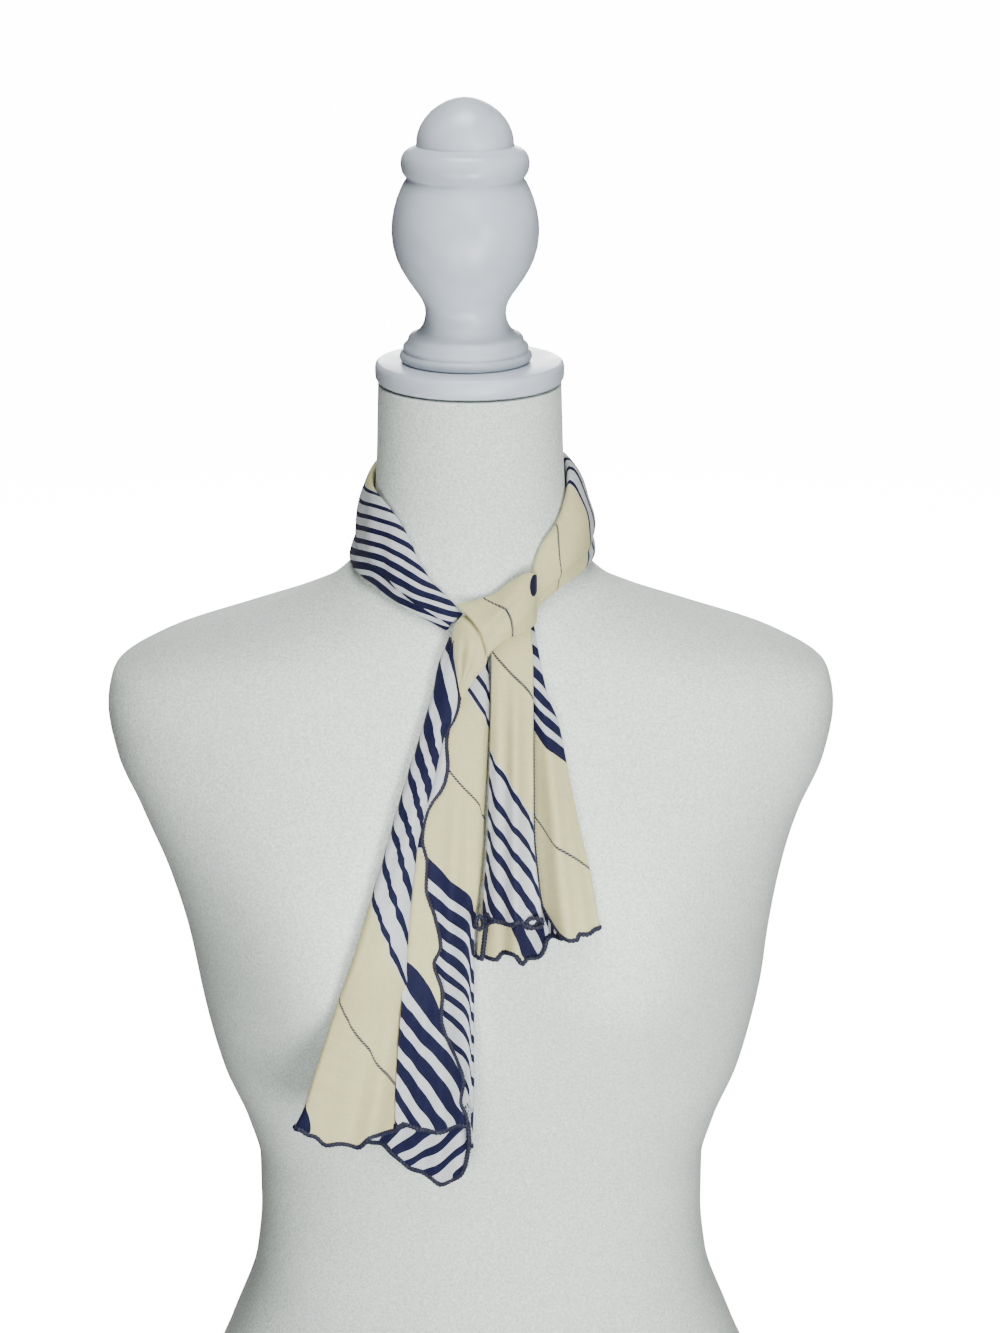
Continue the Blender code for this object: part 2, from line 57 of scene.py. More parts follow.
FORM_COLUMNS = ("height", "centre", "half_width", "front", "back", "squareness")
FORM_SECTIONS = (
    (0, 5, 158, 98, 110, 2.4),
    (14, 5, 168, 108, 120, 2.4),
    (50, 5, 172, 112, 126, 2.4),
    (95, 5, 165, 108, 118, 2.35),
    (135, 5, 150, 101, 104, 2.3),
    (188, 5, 132, 92, 86, 2.3),
    (228, 5, 128, 88, 80, 2.3),
    (255, 5, 128, 88, 82, 2.3),
    (285, 5, 135, 91, 86, 2.3),
    (320, 5, 148, 96, 92, 2.35),
    (368, 5, 158, 102, 99, 2.4),
    (405, 4, 163, 104, 103, 2.4),
    (441, 2, 171, 103, 106, 2.4),
    (476, 0, 183, 99, 107, 2.4),
    (505, 0, 195, 93, 105, 2.4),
    (530, 0, 199, 86, 101, 2.4),
    (548, 0, 196, 80, 96, 2.3),
    (562, 0, 176, 76, 91, 2.15),
    (575, 0, 139, 72, 86, 1.95),
    (587, 0, 103, 68, 80, 1.75),
    (598, 0, 78, 64, 73, 1.65),
    (610, 0, 64, 59, 66, 1.8),
    (626, 0, 55, 54, 60, 2),
    (650, 0, 51, 51, 56, 2),
    (NECK_TOP, 0, 48.5, 51, 49, 2),
)
LEAN_COLUMNS = ("height", "shift")
FORM_LEAN = ((0, 0), (560, 0), (620, 2), (NECK_TOP, NECK_AXIS_Y))
BUST_SIDE = 84.0
BUST_LEVEL = 412.0
BUST_DEPTH = 34.0
BUST_SPREAD = 42.0
BUST_RISE = 62.0
BUST_FALL = 40.0
BUST_FADE = 0.25             # power with which it fades towards the sides
FRONT_REACH = 0.98           # share of the half width at which the front is read

# Turned profiles from the foot up: height and radius.
PLATE_PROFILE = (
    (0, 46), (0.4, 47.4), (1.5, 48.9), (3.2, 49.8), (5, 50), (8.6, 50), (10.2, 49.7),
    (11.1, 48.9), (PLATE_HEIGHT, 47.5), (PLATE_HEIGHT, 30),
)
FINIAL_PROFILE = (
    (0, 33.4), (0.6, 34.2), (2, 34.9), (3.6, 34.6), (4.6, 33.4), (5.2, 32.7), (6.6, 33.2),
    (8, 33), (9.2, 31.8), (10.2, 30.8), (12.4, 30.2), (13.6, 29.2), (14.6, 26.8), (16.2, 24.5),
    (18.5, 22.9), (21.5, 21.7), (25, 21.2), (28.5, 21.5), (32, 22.8), (35.5, 24.9), (39.5, 27.8),
    (44, 30.9), (49, 33.8), (54, 36), (60, 37.7), (67, 38.5), (73, 38.3), (79, 37.3), (85, 35.6),
    (90, 33.6), (93.6, 31.8), (95, 30.7), (96, 30.6), (97.2, 31.6), (99, 32.7), (101.5, 33.3),
    (104, 33.4), (106.5, 32.9), (108.8, 31.6), (110.4, 29.6), (111.4, 27), (112.2, 25.5),
    (113.6, 25.2), (116, 25.1), (119, 24.4), (122.5, 23), (126, 20.8), (129.5, 17.7),
    (132.5, 13.8), (134.8, 9.6), (136.3, 5.2), (137, 0),
)

# ==================== sizes of the scarf
CLOTH = 0.45                 # thickness of the cloth as it is shown
LOOP_COLUMNS = ("top_turn", "top_height", "bottom_turn", "bottom_height", "stand_off",
                "top_band", "bottom_band")
# One row for each section of the cloth round the neck. The last two columns are the place in
# the printed pattern at the top and bottom edges: see the table of the print.
NECK_LOOP = (
    (31, 609, 31, 597, 6, 14.5, 12.8),
    (36, 620, 42, 603, 7, 13.6, 11.8),
    (44, 630, 55, 607, 9, 12.4, 9.9),
    (58, 638, 70, 609.5, 11, 11.3, 7.9),
    (74, 649, 84, 611.5, 13, 9, 6),
    (95, 660, 98, 617, 12, 7, 4.5),
    (120, 664, 120, 626, 10, 4.9, 1.9),
    (150, 666, 150, 632, 8, 2.8, -0.7),
    (180, 667, 180, 634, 7, 0.7, -3.3),
    (210, 665, 210, 631, 7, -1.4, -6),
    (240, 661, 240, 624, 8, -3.6, -8.6),
    (264, 657, 262, 615, 7.5, -5.7, -11.2),
    (284, 653, 283, 610.5, 8, -6.4, -12.6),
    (300, 650, 297, 608, 9, -7.1, -13.5),
    (314, 643, 308, 606, 8, -8.1, -14.1),
    (324, 634, 317, 602.5, 7.5, -9.1, -14.4),
    (332, 622.5, 325, 599.5, 7, -10.2, -14.6),
    (341, 612.5, 333, 596.5, 6, -11.1, -14.8),
    (350, 605, 342, 593.5, 5, -12.1, -15),
    (357, 598, 350, 590, 4.5, -13.3, -15.3),
)
# Name of the piece, its solid, its first and last row.
BANDS = (
    ("band_right", "scarf_neck_right", 0, 5),
    ("band_back", "scarf_neck_back", 5, 11),
    ("band_left", "scarf_neck_left", 11, 19),
)
# Round the folded band: how far down it, the share of the stand-off and what is added to it.
BAND_SECTION = (
    (0.62, 0, 1.3),
    (0.35, 0, 1.3),
    (0.04, 0, 1.4),
    (-0.01, 0.20, 1.6),
    (0.06, 0.50, 1.4),
    (0.25, 0.85, 0.8),
    (0.50, 1.00, 0.6),
    (0.70, 0.92, 0.6),
    (0.80, 0.70, 0.8),
    (0.92, 0.62, 0.6),
    (1.01, 0.30, 1.2),
    (0.96, 0, 1.4),
    (0.76, 0, 1.3),
)
BAND_ACROSS = 90             # points across the folded band
BAND_ALONG = 1.6             # spacing of its sections

WRAP_COLUMNS = ("top_x", "top_z", "bottom_x", "bottom_z", "bow", "top_off", "bottom_off",
                "bulge")
# The cloth wrapped over the knot, from its right end to the rolled rim at its left.
WRAP_ROWS = (
    (33.5, 614, 33, 597.5, 0, 3, 4, 2),
    (35.2, 615.5, 35, 594.8, 0, 6, 7.5, 4),
    (33.9, 617, 33.2, 593.2, 0, 7.6, 10, 6.5),
    (29.6, 617.4, 30, 592, 0, 7, 11, 9),
    (23.8, 614.9, 24.8, 590.8, 0, 5, 12, 11),
    (18.6, 612, 19.6, 588.9, 0, 3.5, 12, 12),
    (12.9, 608.2, 15.5, 586.4, 0.2, 3, 12, 11.5),
    (6.6, 606.4, 11.8, 583.7, 0.8, 3, 12, 10),
    (0.4, 605.4, 10, 581.8, 2, 4, 12, 8.5),
    (-5, 604.6, 8.9, 580.9, 3.2, 6, 11.5, 6.5),
    (-6.9, 604.2, 8.7, 580.8, 3.5, 6, 10, 4.5),
    (-5.2, 604, 9.8, 581.6, 3.6, 4, 7.8, 2.5),
)
WRAP_FULLNESS = 0.6
LOBE_FULLNESS = 0.8
# The dotted line crosses the wrap from here at its top edge to so much further right.
WRAP_LINE_X = 7.7
WRAP_LINE_RUN = 15.0
WRAP_LINE_BEND = 3.4
WRAP_PRINT_RATE = 0.1
LOBE_COLUMNS = ("left_x", "left_z", "right_x", "right_z", "left_off", "right_off", "bulge")
# The cloth that comes out from under the rim and runs down over the long tail.
LOBE_ROWS = (
    (2, 600, 12.5, 591.5, 4.5, 8, 2),
    (-4.5, 598, 10, 589.5, 6.5, 10, 4.5),
    (-8, 592, 9.6, 585, 7.5, 10.8, 5.5),
    (-8.9, 587.4, 9.3, 580.5, 8.5, 10.8, 5.5),
    (-8.4, 582.1, 8.2, 576.2, 9.4, 10.2, 4.6),
    (-7.3, 577.3, 5.1, 572.6, 9.9, 9.8, 3.2),
    (-6.3, 571.5, 1.5, 568.2, 10, 9.4, 1.6),
    (-5.3, 566.1, -1.1, 563.9, 9.8, 9.2, 0.6),
    (-4.4, 561, -2.9, 560, 9.4, 9, 0),
)

LONG_COLUMNS = ("height", "edge", "front_fold", "under_fold", "left_roll", "right_roll",
                "inner_edge")
LONG_FOLDS = (
    (588, -5.5, -7.5, -6, -10.5, 8, -4),
    (575, -5.3, -8.5, -5.8, -16, 9.5, -9),
    (563, -5, -10, -5.9, -18.5, 10.5, -12),
    (556, -5.6, -11, -6.5, -20.6, 10.5, -13.4),
    (549, -7.8, -12.5, -8.8, -22.8, 10.4, -15),
    (543, -11.2, -14, -12, -24.8, 10.1, -16.5),
    (537, -11.9, -15.5, -14.2, -26.6, 9.8, -18),
    (526, -11.2, -17, -17, -30.7, 9.4, -22),
    (519, -12.4, -19, -18.6, -32.8, 9, -23.5),
    (513.5, -15, -21, -20.2, -34.7, 8.6, -25),
    (508.5, -19.2, -23, -21.8, -36.4, 8.3, -26),
    (503.5, -21.9, -25, -23.2, -38, 8, -27),
    (498, -23.5, -27, -24.6, -39.6, 7.8, -28),
    (490, -24.5, -29, -26.5, -42, 7.6, -29),
    (478, -22, -30.5, -28, -45.7, 6.8, -31),
    (466, -22.6, -31.6, -29.5, -49.7, 5.6, -32),
    (451, -17.9, -32.2, -31, -54.4, 3.6, -32),
    (435, -14.9, -34, -32, -59.6, 2.4, -32),
    (427, -18.6, -34.4, -32.5, -62.4, 2.4, -32),
    (412, -14, -34.8, -32, -67.4, 2.3, -32),
    (399, -14.8, -35.8, -31.5, -71.5, 2.3, -31.5),
    (388, -12.2, -36.8, -31, -74.8, 2.2, -31),
    (370, -6.4, -38, -28.5, -80.5, 2.2, -30),
    (358, -3.4, -38.8, -27, -84, 2.2, -29),
    (347, -5, -39.2, -26.5, -87.4, 2.1, -28.5),
    (336, -1.5, -39.2, -26, -92.3, 1.8, -28),
    (292, -0.8, -39.5, -26, -97, -0.5, -28),
)
# The layers of the first three panels change places between these two heights.
LONG_LEVELS_LOW = (4, 3, 2)
LONG_LEVELS_HIGH = (2, 3, 4)
LONG_TURN_LOW = 400.0
LONG_TURN_HIGH = 436.0
HEM_COLUMNS = ("place", "height")
# The place counts the folds from the first edge.
LONG_HEM = (
    (0, 332.5), (0.18, 333.5), (0.42, 333.5), (0.64, 334.6), (0.8, 337.2), (0.92, 338), (1, 336),
    (1.5, 337), (2, 336.5), (2.2, 333.4), (2.38, 335.4), (2.5, 328.4), (2.66, 330.2), (2.76, 329),
    (2.86, 333.6), (2.93, 334.6), (3, 336.8), (3.2, 333), (3.47, 325), (3.56, 314), (3.66, 306),
    (3.79, 299), (3.86, 294.6), (3.94, 295.6), (3.98, 301), (4, 316), (4.05, 330), (4.2, 337),
    (5, 339),
)
SHORT_COLUMNS = ("height", "edge", "right_roll", "back_middle", "left_roll", "left_pleat",
                 "front_left", "front_right", "right_pleat", "inner_edge")
SHORT_FOLDS = (
    (592, 28, 33.5, 25, 11.5, 18, 11.7, 31.8, 24.5, 29.5),
    (575, 28, 37, 25, 11.5, 18, 11.7, 33, 24.5, 30),
    (560, 31.6, 40.5, 27, 11.5, 18, 11.5, 33.1, 24.5, 30.5),
    (547, 33.1, 46, 29, 11.3, 18, 11.3, 33.1, 24.5, 31),
    (523, 33.3, 51.3, 31, 10.6, 18, 10.4, 33.1, 24.5, 31),
    (495, 33.5, 57.5, 33, 9.8, 18, 9.6, 33.2, 25, 32),
    (475, 35.3, 62.6, 36, 8.4, 18, 8.4, 35, 25, 33),
    (459, 37.6, 65.6, 39, 6.8, 17.5, 7.2, 37, 25, 36),
    (450, 43.5, 67, 40.5, 5.8, 17.2, 6.9, 37.6, 25, 37.5),
    (443, 50, 68.5, 41.5, 5, 17, 6.8, 38, 25, 38),
    (420, 54, 70, 42, 3.6, 17, 6.8, 38, 25, 39),
)
SHORT_LEVELS = (1, 0, 0, 2, 3, 4, 3, 2)
SHORT_HEM = (
    (0, 446), (0.2, 445), (0.4, 445.2), (0.52, 447.6), (0.75, 447.2), (1, 448.4), (1.5, 447),
    (1.75, 443.4), (1.95, 442.4), (2.04, 439), (2.08, 433.5), (2.14, 429.5), (2.23, 428),
    (2.33, 427.6), (2.4, 424.6), (2.44, 426), (2.48, 429), (2.55, 430.2), (2.67, 429.4),
    (2.73, 427.8), (2.77, 425), (2.86, 424.8), (3, 426), (3.03, 436), (3.07, 447), (4, 450),
    (4.8, 447.5), (4.95, 446), (5, 449.5), (5.04, 454), (5.1, 452), (5.36, 451.4), (5.48, 452),
    (5.58, 453.8), (5.66, 454.3), (5.71, 452.5), (5.77, 450), (5.87, 449.4), (5.95, 450.6),
    (6, 453), (6.5, 456), (8, 456),
)
# The innermost layer lies this far off the form, and the next ones so much further each.
TAIL_CLEAR_TOP = 2.4
TAIL_CLEAR = 1.6
CLEAR_LEVEL = 540.0
PITCH_TOP = 1.6
PITCH_LOW = 2.7
PITCH_LEVEL = 500.0
KNOT_LEVEL = 630.0           # the tails fan out from here
HANG_TOP = 590.0
FOLD_SHARE = 0.45            # most of a panel that a fold's turn may take
PANEL_STEP = 1.5             # spacing of the points across a panel
ROW_STEP = 1.7               # and down it
FOLD_POINTS = 7              # points round a fold
HEM_RADIUS = 1.35
SELVAGE_RADIUS = 1.15
SELVAGE_TOP = 567.0          # above this the first edges lie inside the knot
HEM_SPACING = 0.45
HEM_SIDES = 8
HEM_END = 0.4                # share of the radius left at the two ends
NEAR_DEPTH = (0.0, 1.0, 0.02)    # a direction that no edge runs in
STITCH_PITCH = 1.9
STITCH_SWELL = 0.16

# ---------------------------------------------------------------- the print
# The pattern repeats every 15 units. A navy stripe starts at each of the units 0 to 8 and gets
# narrower from one to the next, then comes a cream band with one dotted line at 11.5.
REPEAT = 15.0
STRIPE_WIDTHS = (0.62, 0.62, 0.60, 0.52, 0.45, 0.41, 0.36, 0.29, 0.25)
CREAM_START = 8.29
LINE_PLACE = 11.5
LINE_HALF_WIDTH = 0.055
LAST_PLACE = 23.28           # the third cream band doesn't show on the tails
# Place in the print along each fold: height and unit.
LONG_PRINT = {
    "edge": ((590, 7.3), (538, 7.4), (512, 7.9), (499, 8), (484, 8.29), (482, 11.7), (399, 15),
             (382, 15.62), (362, 16), (349, 16.55), (336, 16.95)),
    "front_fold": ((590, 7.3), (538, 7.4), (512, 7.9), (500, 8), (486, 8.29), (484, 11.7),
                   (432, 15), (424, 15.62), (413, 16), (398, 17), (380, 18), (363, 19), (343, 20),
                   (330, 20.6)),
    "under_fold": ((589, 0), (545, 1), (530, 2), (514.5, 3), (501, 4), (485, 5), (465, 6),
                   (442, 7), (418, 8), (333, 11.5), (318, 12.1)),
    "left_roll": ((588, 0), (581, 1), (558, 2), (544, 3), (530, 4), (518, 5), (503, 6), (490, 7),
                  (472, 8), (416, 11.5), (355, 15), (336, 15.75), (331, 15.1), (299, 17.2)),
    "right_roll": ((590, 5.6), (575, 6), (559, 7), (545, 8), (497, 11.5), (448, 15), (434, 16),
                   (416, 17), (404, 18), (392, 19), (379, 20), (368, 21), (354, 22), (340, 22.6),
                   (336, 19.9), (299, 22)),
    "inner_edge": ((590, 7), (575, 8.2), (560, 9.8), (530, 12), (497, 14.6), (477, 15.9),
                   (461, 17), (447, 18.3), (435, 19.4), (420, 21), (405, 22.4), (390, 23.5),
                   (370, 24.3), (340, 25.2)),
}
SHORT_PRINT = {
    "edge": ((592, 4.9), (583.6, 4), (573.6, 3), (563.7, 2), (553.8, 1), (544.8, 0), (503, -3.5),
             (476, -5.6), (459, -6.6), (443, -7)),
    "right_roll": ((592, 5.3), (574.5, 4), (559.6, 3), (546.6, 2), (536.8, 1), (526, 0),
                   (476, -3.5), (447, -5.5), (423, -7)),
    "back_middle": ((592, 7), (445, 2), (425, 1.3)),
    "left_roll": ((592, 3), (445, -1.5), (423, -2.3)),
    "left_pleat": ((592, 11), (440, 0)),
    "front_left": ((592, 12), (585, 11.5), (535, 8.1), (523, 7.1), (506, 6.1), (497, 5.2),
                   (486, 4.2), (475, 3.3), (460, 2.3), (450, 1.6)),
    "front_right": ((592, 13.5), (558, 11.5), (494, 8.1), (479, 7.1), (461, 6.1), (452, 5.6)),
    "right_pleat": ((592, 14), (440, 7)),
    "inner_edge": ((592, 14.4), (440, 8)),
}


# ==================== curves through tables
def smooth_curve(places, values, at):
    """Values at an array of places on the smooth curve through the rows, with no overshoot."""
    places, values = np.array(places, float), np.array(values, float)
    at = np.clip(np.asarray(at, float), places[0], places[-1])
    steps = np.diff(places)
    slopes = np.diff(values) / steps
    tangents = np.concatenate([slopes[:1], np.zeros(len(places) - 2), slopes[-1:]])
    before, after = slopes[:-1], slopes[1:]
    turning = before * after <= 0.0
    heavy, light = 2.0 * steps[1:] + steps[:-1], steps[1:] + 2.0 * steps[:-1]
    mean = (heavy + light) / (heavy / np.where(turning, 1.0, before)
                              + light / np.where(turning, 1.0, after))
    tangents[1:-1] = np.where(turning, 0.0, mean)
    left = np.clip(np.searchsorted(places, at, side="right") - 1, 0, len(places) - 2)
    t = (at - places[left]) / steps[left]
    hold = 2.0 * t ** 3 - 3.0 * t ** 2 + 1.0
    leave = (t ** 3 - 2.0 * t ** 2 + t) * steps[left] * tangents[left]
    arrive = (t ** 3 - t ** 2) * steps[left] * tangents[left + 1]
    return hold * values[left] + leave + (1.0 - hold) * values[left + 1] + arrive


def smooth_share(value, low, high):
    share = np.clip((value - low) / (high - low), 0.0, 1.0)
    return share * share * (3.0 - 2.0 * share)


def blend(low, high, share):
    return low + (high - low) * share


class Table:
    """Rows with named columns, read at any places along the first column or the row number."""

    def __init__(self, columns, rows, by_row=False):
        rows = list(rows) if by_row else sorted(rows)
        places = [float(row) for row in range(len(rows))] if by_row else [r[0] for r in rows]
        self.fine = np.linspace(places[0], places[-1], CURVE_SAMPLES)
        self.first, self.last = places[0], places[-1]
        self.values = {
            name: smooth_curve(places, [row[index] for row in rows], self.fine)
            for index, name in enumerate(columns)
        }

    def at(self, name, places):
        return np.interp(places, self.fine, self.values[name])

    def between(self, sides, name, places, share):
        """Value at a share of the way from one side's column to the other's."""
        near, far = (self.at(f"{side}_{name}", places) for side in sides)
        return blend(near, far, share)


# ==================== the form's surface
FORM = Table(FORM_COLUMNS, FORM_SECTIONS)
LEAN = Table(LEAN_COLUMNS, FORM_LEAN)
NECK_HALVINGS = 26           # steps of the search for a direction from the neck's axis
HANG_STEPS = 24              # levels looked at between the knot and a point of a tail


def bust(aside, height):
    away = (np.abs(aside) - BUST_SIDE) / BUST_SPREAD
    above = height - BUST_LEVEL
    tall = above / np.where(above > 0.0, BUST_RISE, BUST_FALL)
    return BUST_DEPTH * np.exp(-0.5 * (away * away + tall * tall))


def form_point(height, angle):
    """Points of the torso; the angle runs from the viewer's right to the back."""
    across, along = np.cos(angle), np.sin(angle)
    power = 2.0 / FORM.at("squareness", height)
    aside = FORM.at("half_width", height) * np.sign(across) * np.abs(across) ** power
    depth = np.where(along > 0.0, FORM.at("back", height), FORM.at("front", height))
    y = depth * np.sign(along) * np.abs(along) ** power
    y = y - bust(aside, height) * np.sqrt(np.maximum(-along, 0.0))
    x, z = aside + FORM.at("centre", height), np.broadcast_to(height, np.shape(y))
    return np.stack([x, y + LEAN.at("shift", height), z], axis=-1)


def form_front(x, height):
    """How far in front of the origin the torso's front lies at x."""
    aside = x - FORM.at("centre", height)
    share = np.minimum(FRONT_REACH, np.abs(aside) / FORM.at("half_width", height))
    power = FORM.at("squareness", height)
    left = 1.0 - share ** power
    depth = FORM.at("front", height) * left ** (1.0 / power)
    return depth + bust(aside, height) * left ** BUST_FADE - LEAN.at("shift", height)


def neck_point(turn, height):
    """Points of the form in level directions from the neck's axis; turn 0 is the front."""
    turn, height = np.broadcast_arrays(np.asarray(turn, float), np.asarray(height, float))
    wanted = np.radians(turn)
    low, high = wanted - math.pi, wanted.copy()
    centre_y = LEAN.at("shift", height)
    for _ in range(NECK_HALVINGS):
        angle = (low + high) / 2.0
        point = form_point(height, angle)
        facing = np.arctan2(point[..., 0], centre_y - point[..., 1])
        ahead = (facing - wanted + math.pi) % (2.0 * math.pi) - math.pi
        low = np.where(ahead < 0.0, angle, low)
        high = np.where(ahead < 0.0, high, angle)
    return point


def unit(vectors):
    return vectors / np.maximum(np.linalg.norm(vectors, axis=-1, keepdims=True), 1e-9)


def neck_normal(turn, height):
    step_round = neck_point(turn + 1.0, height) - neck_point(turn - 1.0, height)
    step_up = neck_point(turn, height + 1.0) - neck_point(turn, height - 1.0)
    return unit(np.cross(step_round, step_up))


def hang_depth(x, height):
    """Front of the form that cloth at x hangs from: the furthest point on its way down."""
    deepest = np.zeros(np.shape(x))
    for step in range(HANG_STEPS + 1):
        level = blend(HANG_TOP, height, step / HANG_STEPS)
        fan = (KNOT_LEVEL - level) / (KNOT_LEVEL - height)
        deepest = np.maximum(deepest, form_front(x * fan, level))
    return deepest


# ==================== mesh helpers
def add_piece(name, points, faces, material, fields=None, sharp=None):
    """Smooth mesh object from points in millimetres; fields are kept as point attributes."""
    mesh = bpy.data.meshes.new(name)
    mesh.from_pydata((np.asarray(points) * MM).tolist(), [], faces)
    mesh.shade_smooth()
    if sharp is not None:
        mesh.set_sharp_from_angle(angle=math.radians(sharp))
    mesh.materials.append(material)
    for field, values in (fields or {}).items():
        values = np.asarray(values, np.float32)
        if values.ndim == 1:
            mesh.attributes.new(field, "FLOAT", "POINT").data.foreach_set("value", values)
        else:
            attribute = mesh.attributes.new(field, "FLOAT_VECTOR", "POINT")
            attribute.data.foreach_set("vector", values.ravel())
    piece = bpy.data.objects.new(name, mesh)
    bpy.context.scene.collection.objects.link(piece)
    return piece


def grid_faces(rows, columns, closed=False):
    """Quads between the points of a grid that is stored row by row."""
    row = np.arange(rows - 1)[:, None]
    here = np.arange(columns if closed else columns - 1)[None, :]
    after = (here + 1) % columns
    corners = (row * columns + here, row * columns + after,
               (row + 1) * columns + after, (row + 1) * columns + here)
    return np.stack([corner.ravel() for corner in corners], axis=-1)


def capped_faces(rings, sides):
    """Faces of a tube of rings with a cap at each end."""
    faces = grid_faces(rings, sides, closed=True).tolist()
    faces.append(list(range(sides))[::-1])
    faces.append([(rings - 1) * sides + side for side in range(sides)])
    return faces


def ring_angles(sides):
    return np.arange(sides) * 2.0 * math.pi / sides


# ==================== materials
INK_WANDER_SCALE = 0.07      # to each millimetre of cloth
INK_WANDER = 0.05            # in units of the print
DASH_PITCH = 1.2
DASH_LENGTH = 1.0
SLUB_STRETCHES = ((0.65, 0.16, 1.0), (0.16, 0.65, 1.0))
# To each metre: rows of loops, flecks of lint with painted glints, uneven patches, lathe lines and
# paint film.
LOOP_SCALE = 1400.0
LINT_AND_GLINT_SCALE = 800.0
PATCH_SCALE = 9.0
LATHE_SQUEEZE = (4.0, 4.0, 400.0)
FILM_SCALE = 60.0


def linear(code):
    """Linear colour from an sRGB hex code."""
    parts = [int(code[place:place + 2], 16) / 255.0 for place in (1, 3, 5)]
    return (*[part / 12.92 if part <= 0.04045 else ((part + 0.055) / 1.055) ** 2.4
              for part in parts], 1.0)


def fill(tree, made, inputs):
    """Link the inputs of a node that are sockets, and fix the values of the others."""
    for name, value in inputs.items():
        if isinstance(value, bpy.types.NodeSocket):
            tree.links.new(value, made.inputs[name])
        else:
            made.inputs[name].default_value = value


def node(tree, kind, inputs, **settings):
    """Add a node with its settings, its fixed inputs and its links."""
    made = tree.nodes.new(kind)
    for name, value in settings.items():
        setattr(made, name, value)
    fill(tree, made, inputs)
    return made


def maths(tree, operation, *values):
    return node(tree, "ShaderNodeMath", dict(enumerate(values)), operation=operation).outputs[0]


def vector_maths(tree, operation, inputs):
    return node(tree, "ShaderNodeVectorMath", inputs, operation=operation).outputs[0]


def noise(tree, vector, **values):
    return node(tree, "ShaderNodeTexNoise", {**values, "Vector": vector}).outputs["Fac"]


def mapped(tree, value, source, target):
    """The value moved from one range to another."""
    inputs = {"From Min": source[0], "From Max": source[1], "To Min": target[0],
              "To Max": target[1], "Value": value}
    return node(tree, "ShaderNodeMapRange", inputs).outputs["Result"]


def two_tone(tree, factor, *stops):
    """Ramp between two sRGB colours, each with its position."""
    ramp = node(tree, "ShaderNodeValToRGB", {"Fac": factor})
    for element, (position, code) in zip(ramp.color_ramp.elements, stops):
        element.position, element.color = position, linear(code)
    return ramp.outputs["Color"]


def relief(tree, height, strength, distance):
    inputs = {"Strength": strength, "Distance": distance, "Height": height}
    return node(tree, "ShaderNodeBump", inputs).outputs["Normal"]


def new_material(name):
    material = bpy.data.materials.new(name)
    material.use_nodes = True
    return material, material.node_tree, material.node_tree.nodes["Principled BSDF"]


def printed_crepe():
    """Printed polyester crepe: matt, with soft-edged navy stripes on cool white and cream,
    a faint pebbled weave and a little sheen at the turns."""
    material, tree, shader = new_material("printed_crepe")
    place = node(tree, "ShaderNodeAttribute", {}, attribute_name="print_place").outputs["Fac"]
    cloth = node(tree, "ShaderNodeAttribute", {}, attribute_name="cloth_mm").outputs["Vector"]
    # The ink's edge wanders by a few hundredths of a stripe over 14 mm.
    bleed = noise(tree, cloth, Scale=INK_WANDER_SCALE, Detail=0.0)
    moved = maths(tree, "ADD", place, maths(tree, "MULTIPLY", bleed, INK_WANDER))
    phase = maths(tree, "FLOORED_MODULO", moved, REPEAT)
    ramp = node(tree, "ShaderNodeValToRGB", {"Fac": maths(tree, "DIVIDE", phase, REPEAT)})
    ramp.color_ramp.interpolation = "CONSTANT"
    navy, white, cream = linear("#0a0d2b"), linear("#a8acae"), linear("#b1ad80")
    stops = [stop for stripe, width in enumerate(STRIPE_WIDTHS)
             for stop in ((stripe, navy), (stripe + width, white))]
    elements = ramp.color_ramp.elements
    elements.remove(elements[1])
    elements[0].position, elements[0].color = stops[0]
    for start, colour in (*stops[1:], (CREAM_START, cream)):
        elements.new(start / REPEAT).color = colour
    # One dotted line of print in the middle of the cream.
    off_line = maths(tree, "ABSOLUTE", maths(tree, "SUBTRACT", phase, LINE_PLACE))
    on_line = maths(tree, "LESS_THAN", off_line, LINE_HALF_WIDTH)
    parts = node(tree, "ShaderNodeSeparateXYZ", {0: cloth})
    dash = maths(tree, "FLOORED_MODULO", parts.outputs["Y"], DASH_PITCH)
    dotted = maths(tree, "MULTIPLY", on_line, maths(tree, "LESS_THAN", dash, DASH_LENGTH))
    lined = node(tree, "ShaderNodeMix", {"B": linear("#1b1f36"), "Factor": dotted,
                                         "A": ramp.outputs["Color"]}, data_type="RGBA")
    # Slubs: threads are 0.2 mm in the real cloth, drawn here as 1.5 mm flecks so they show.
    weave = maths(tree, "ADD", *[
        noise(tree, vector_maths(tree, "MULTIPLY", {1: stretch, 0: cloth}), Scale=1.0, Detail=3.0)
        for stretch in SLUB_STRETCHES])
    tone = mapped(tree, weave, (0.7, 1.3), (0.93, 1.05))
    colour = vector_maths(tree, "SCALE", {0: lined.outputs["Result"], "Scale": tone})
    fill(tree, shader, {
        "Base Color": colour,
        "Normal": relief(tree, weave, strength=0.35, distance=0.0004),
        "Roughness": 0.72,
        "Specular IOR Level": 0.14,
        "Sheen Weight": 0.03,
        "Sheen Roughness": 0.5,
    })
    return material


def overlock_thread():
    """Navy polyester overlock thread: satin, with painted shade darkening the gaps between the
    stitches.
    """
    material, tree, shader = new_material("overlock_thread")
    length = node(tree, "ShaderNodeAttribute", {}, attribute_name="thread_mm").outputs["Fac"]
    turn = maths(tree, "MULTIPLY", length, 2.0 * math.pi / STITCH_PITCH)
    wave = maths(tree, "SINE", turn)
    fill(tree, shader, {
        # The colour follows the stitch swell: it is darker where the tube narrows, as painted
        # shade in the gaps.
        "Base Color": two_tone(tree, wave, (0.0, "#0a0c1a"), (1.0, "#161b38")),
        "Roughness": 0.55,
        "Specular IOR Level": 0.3,
    })
    return material


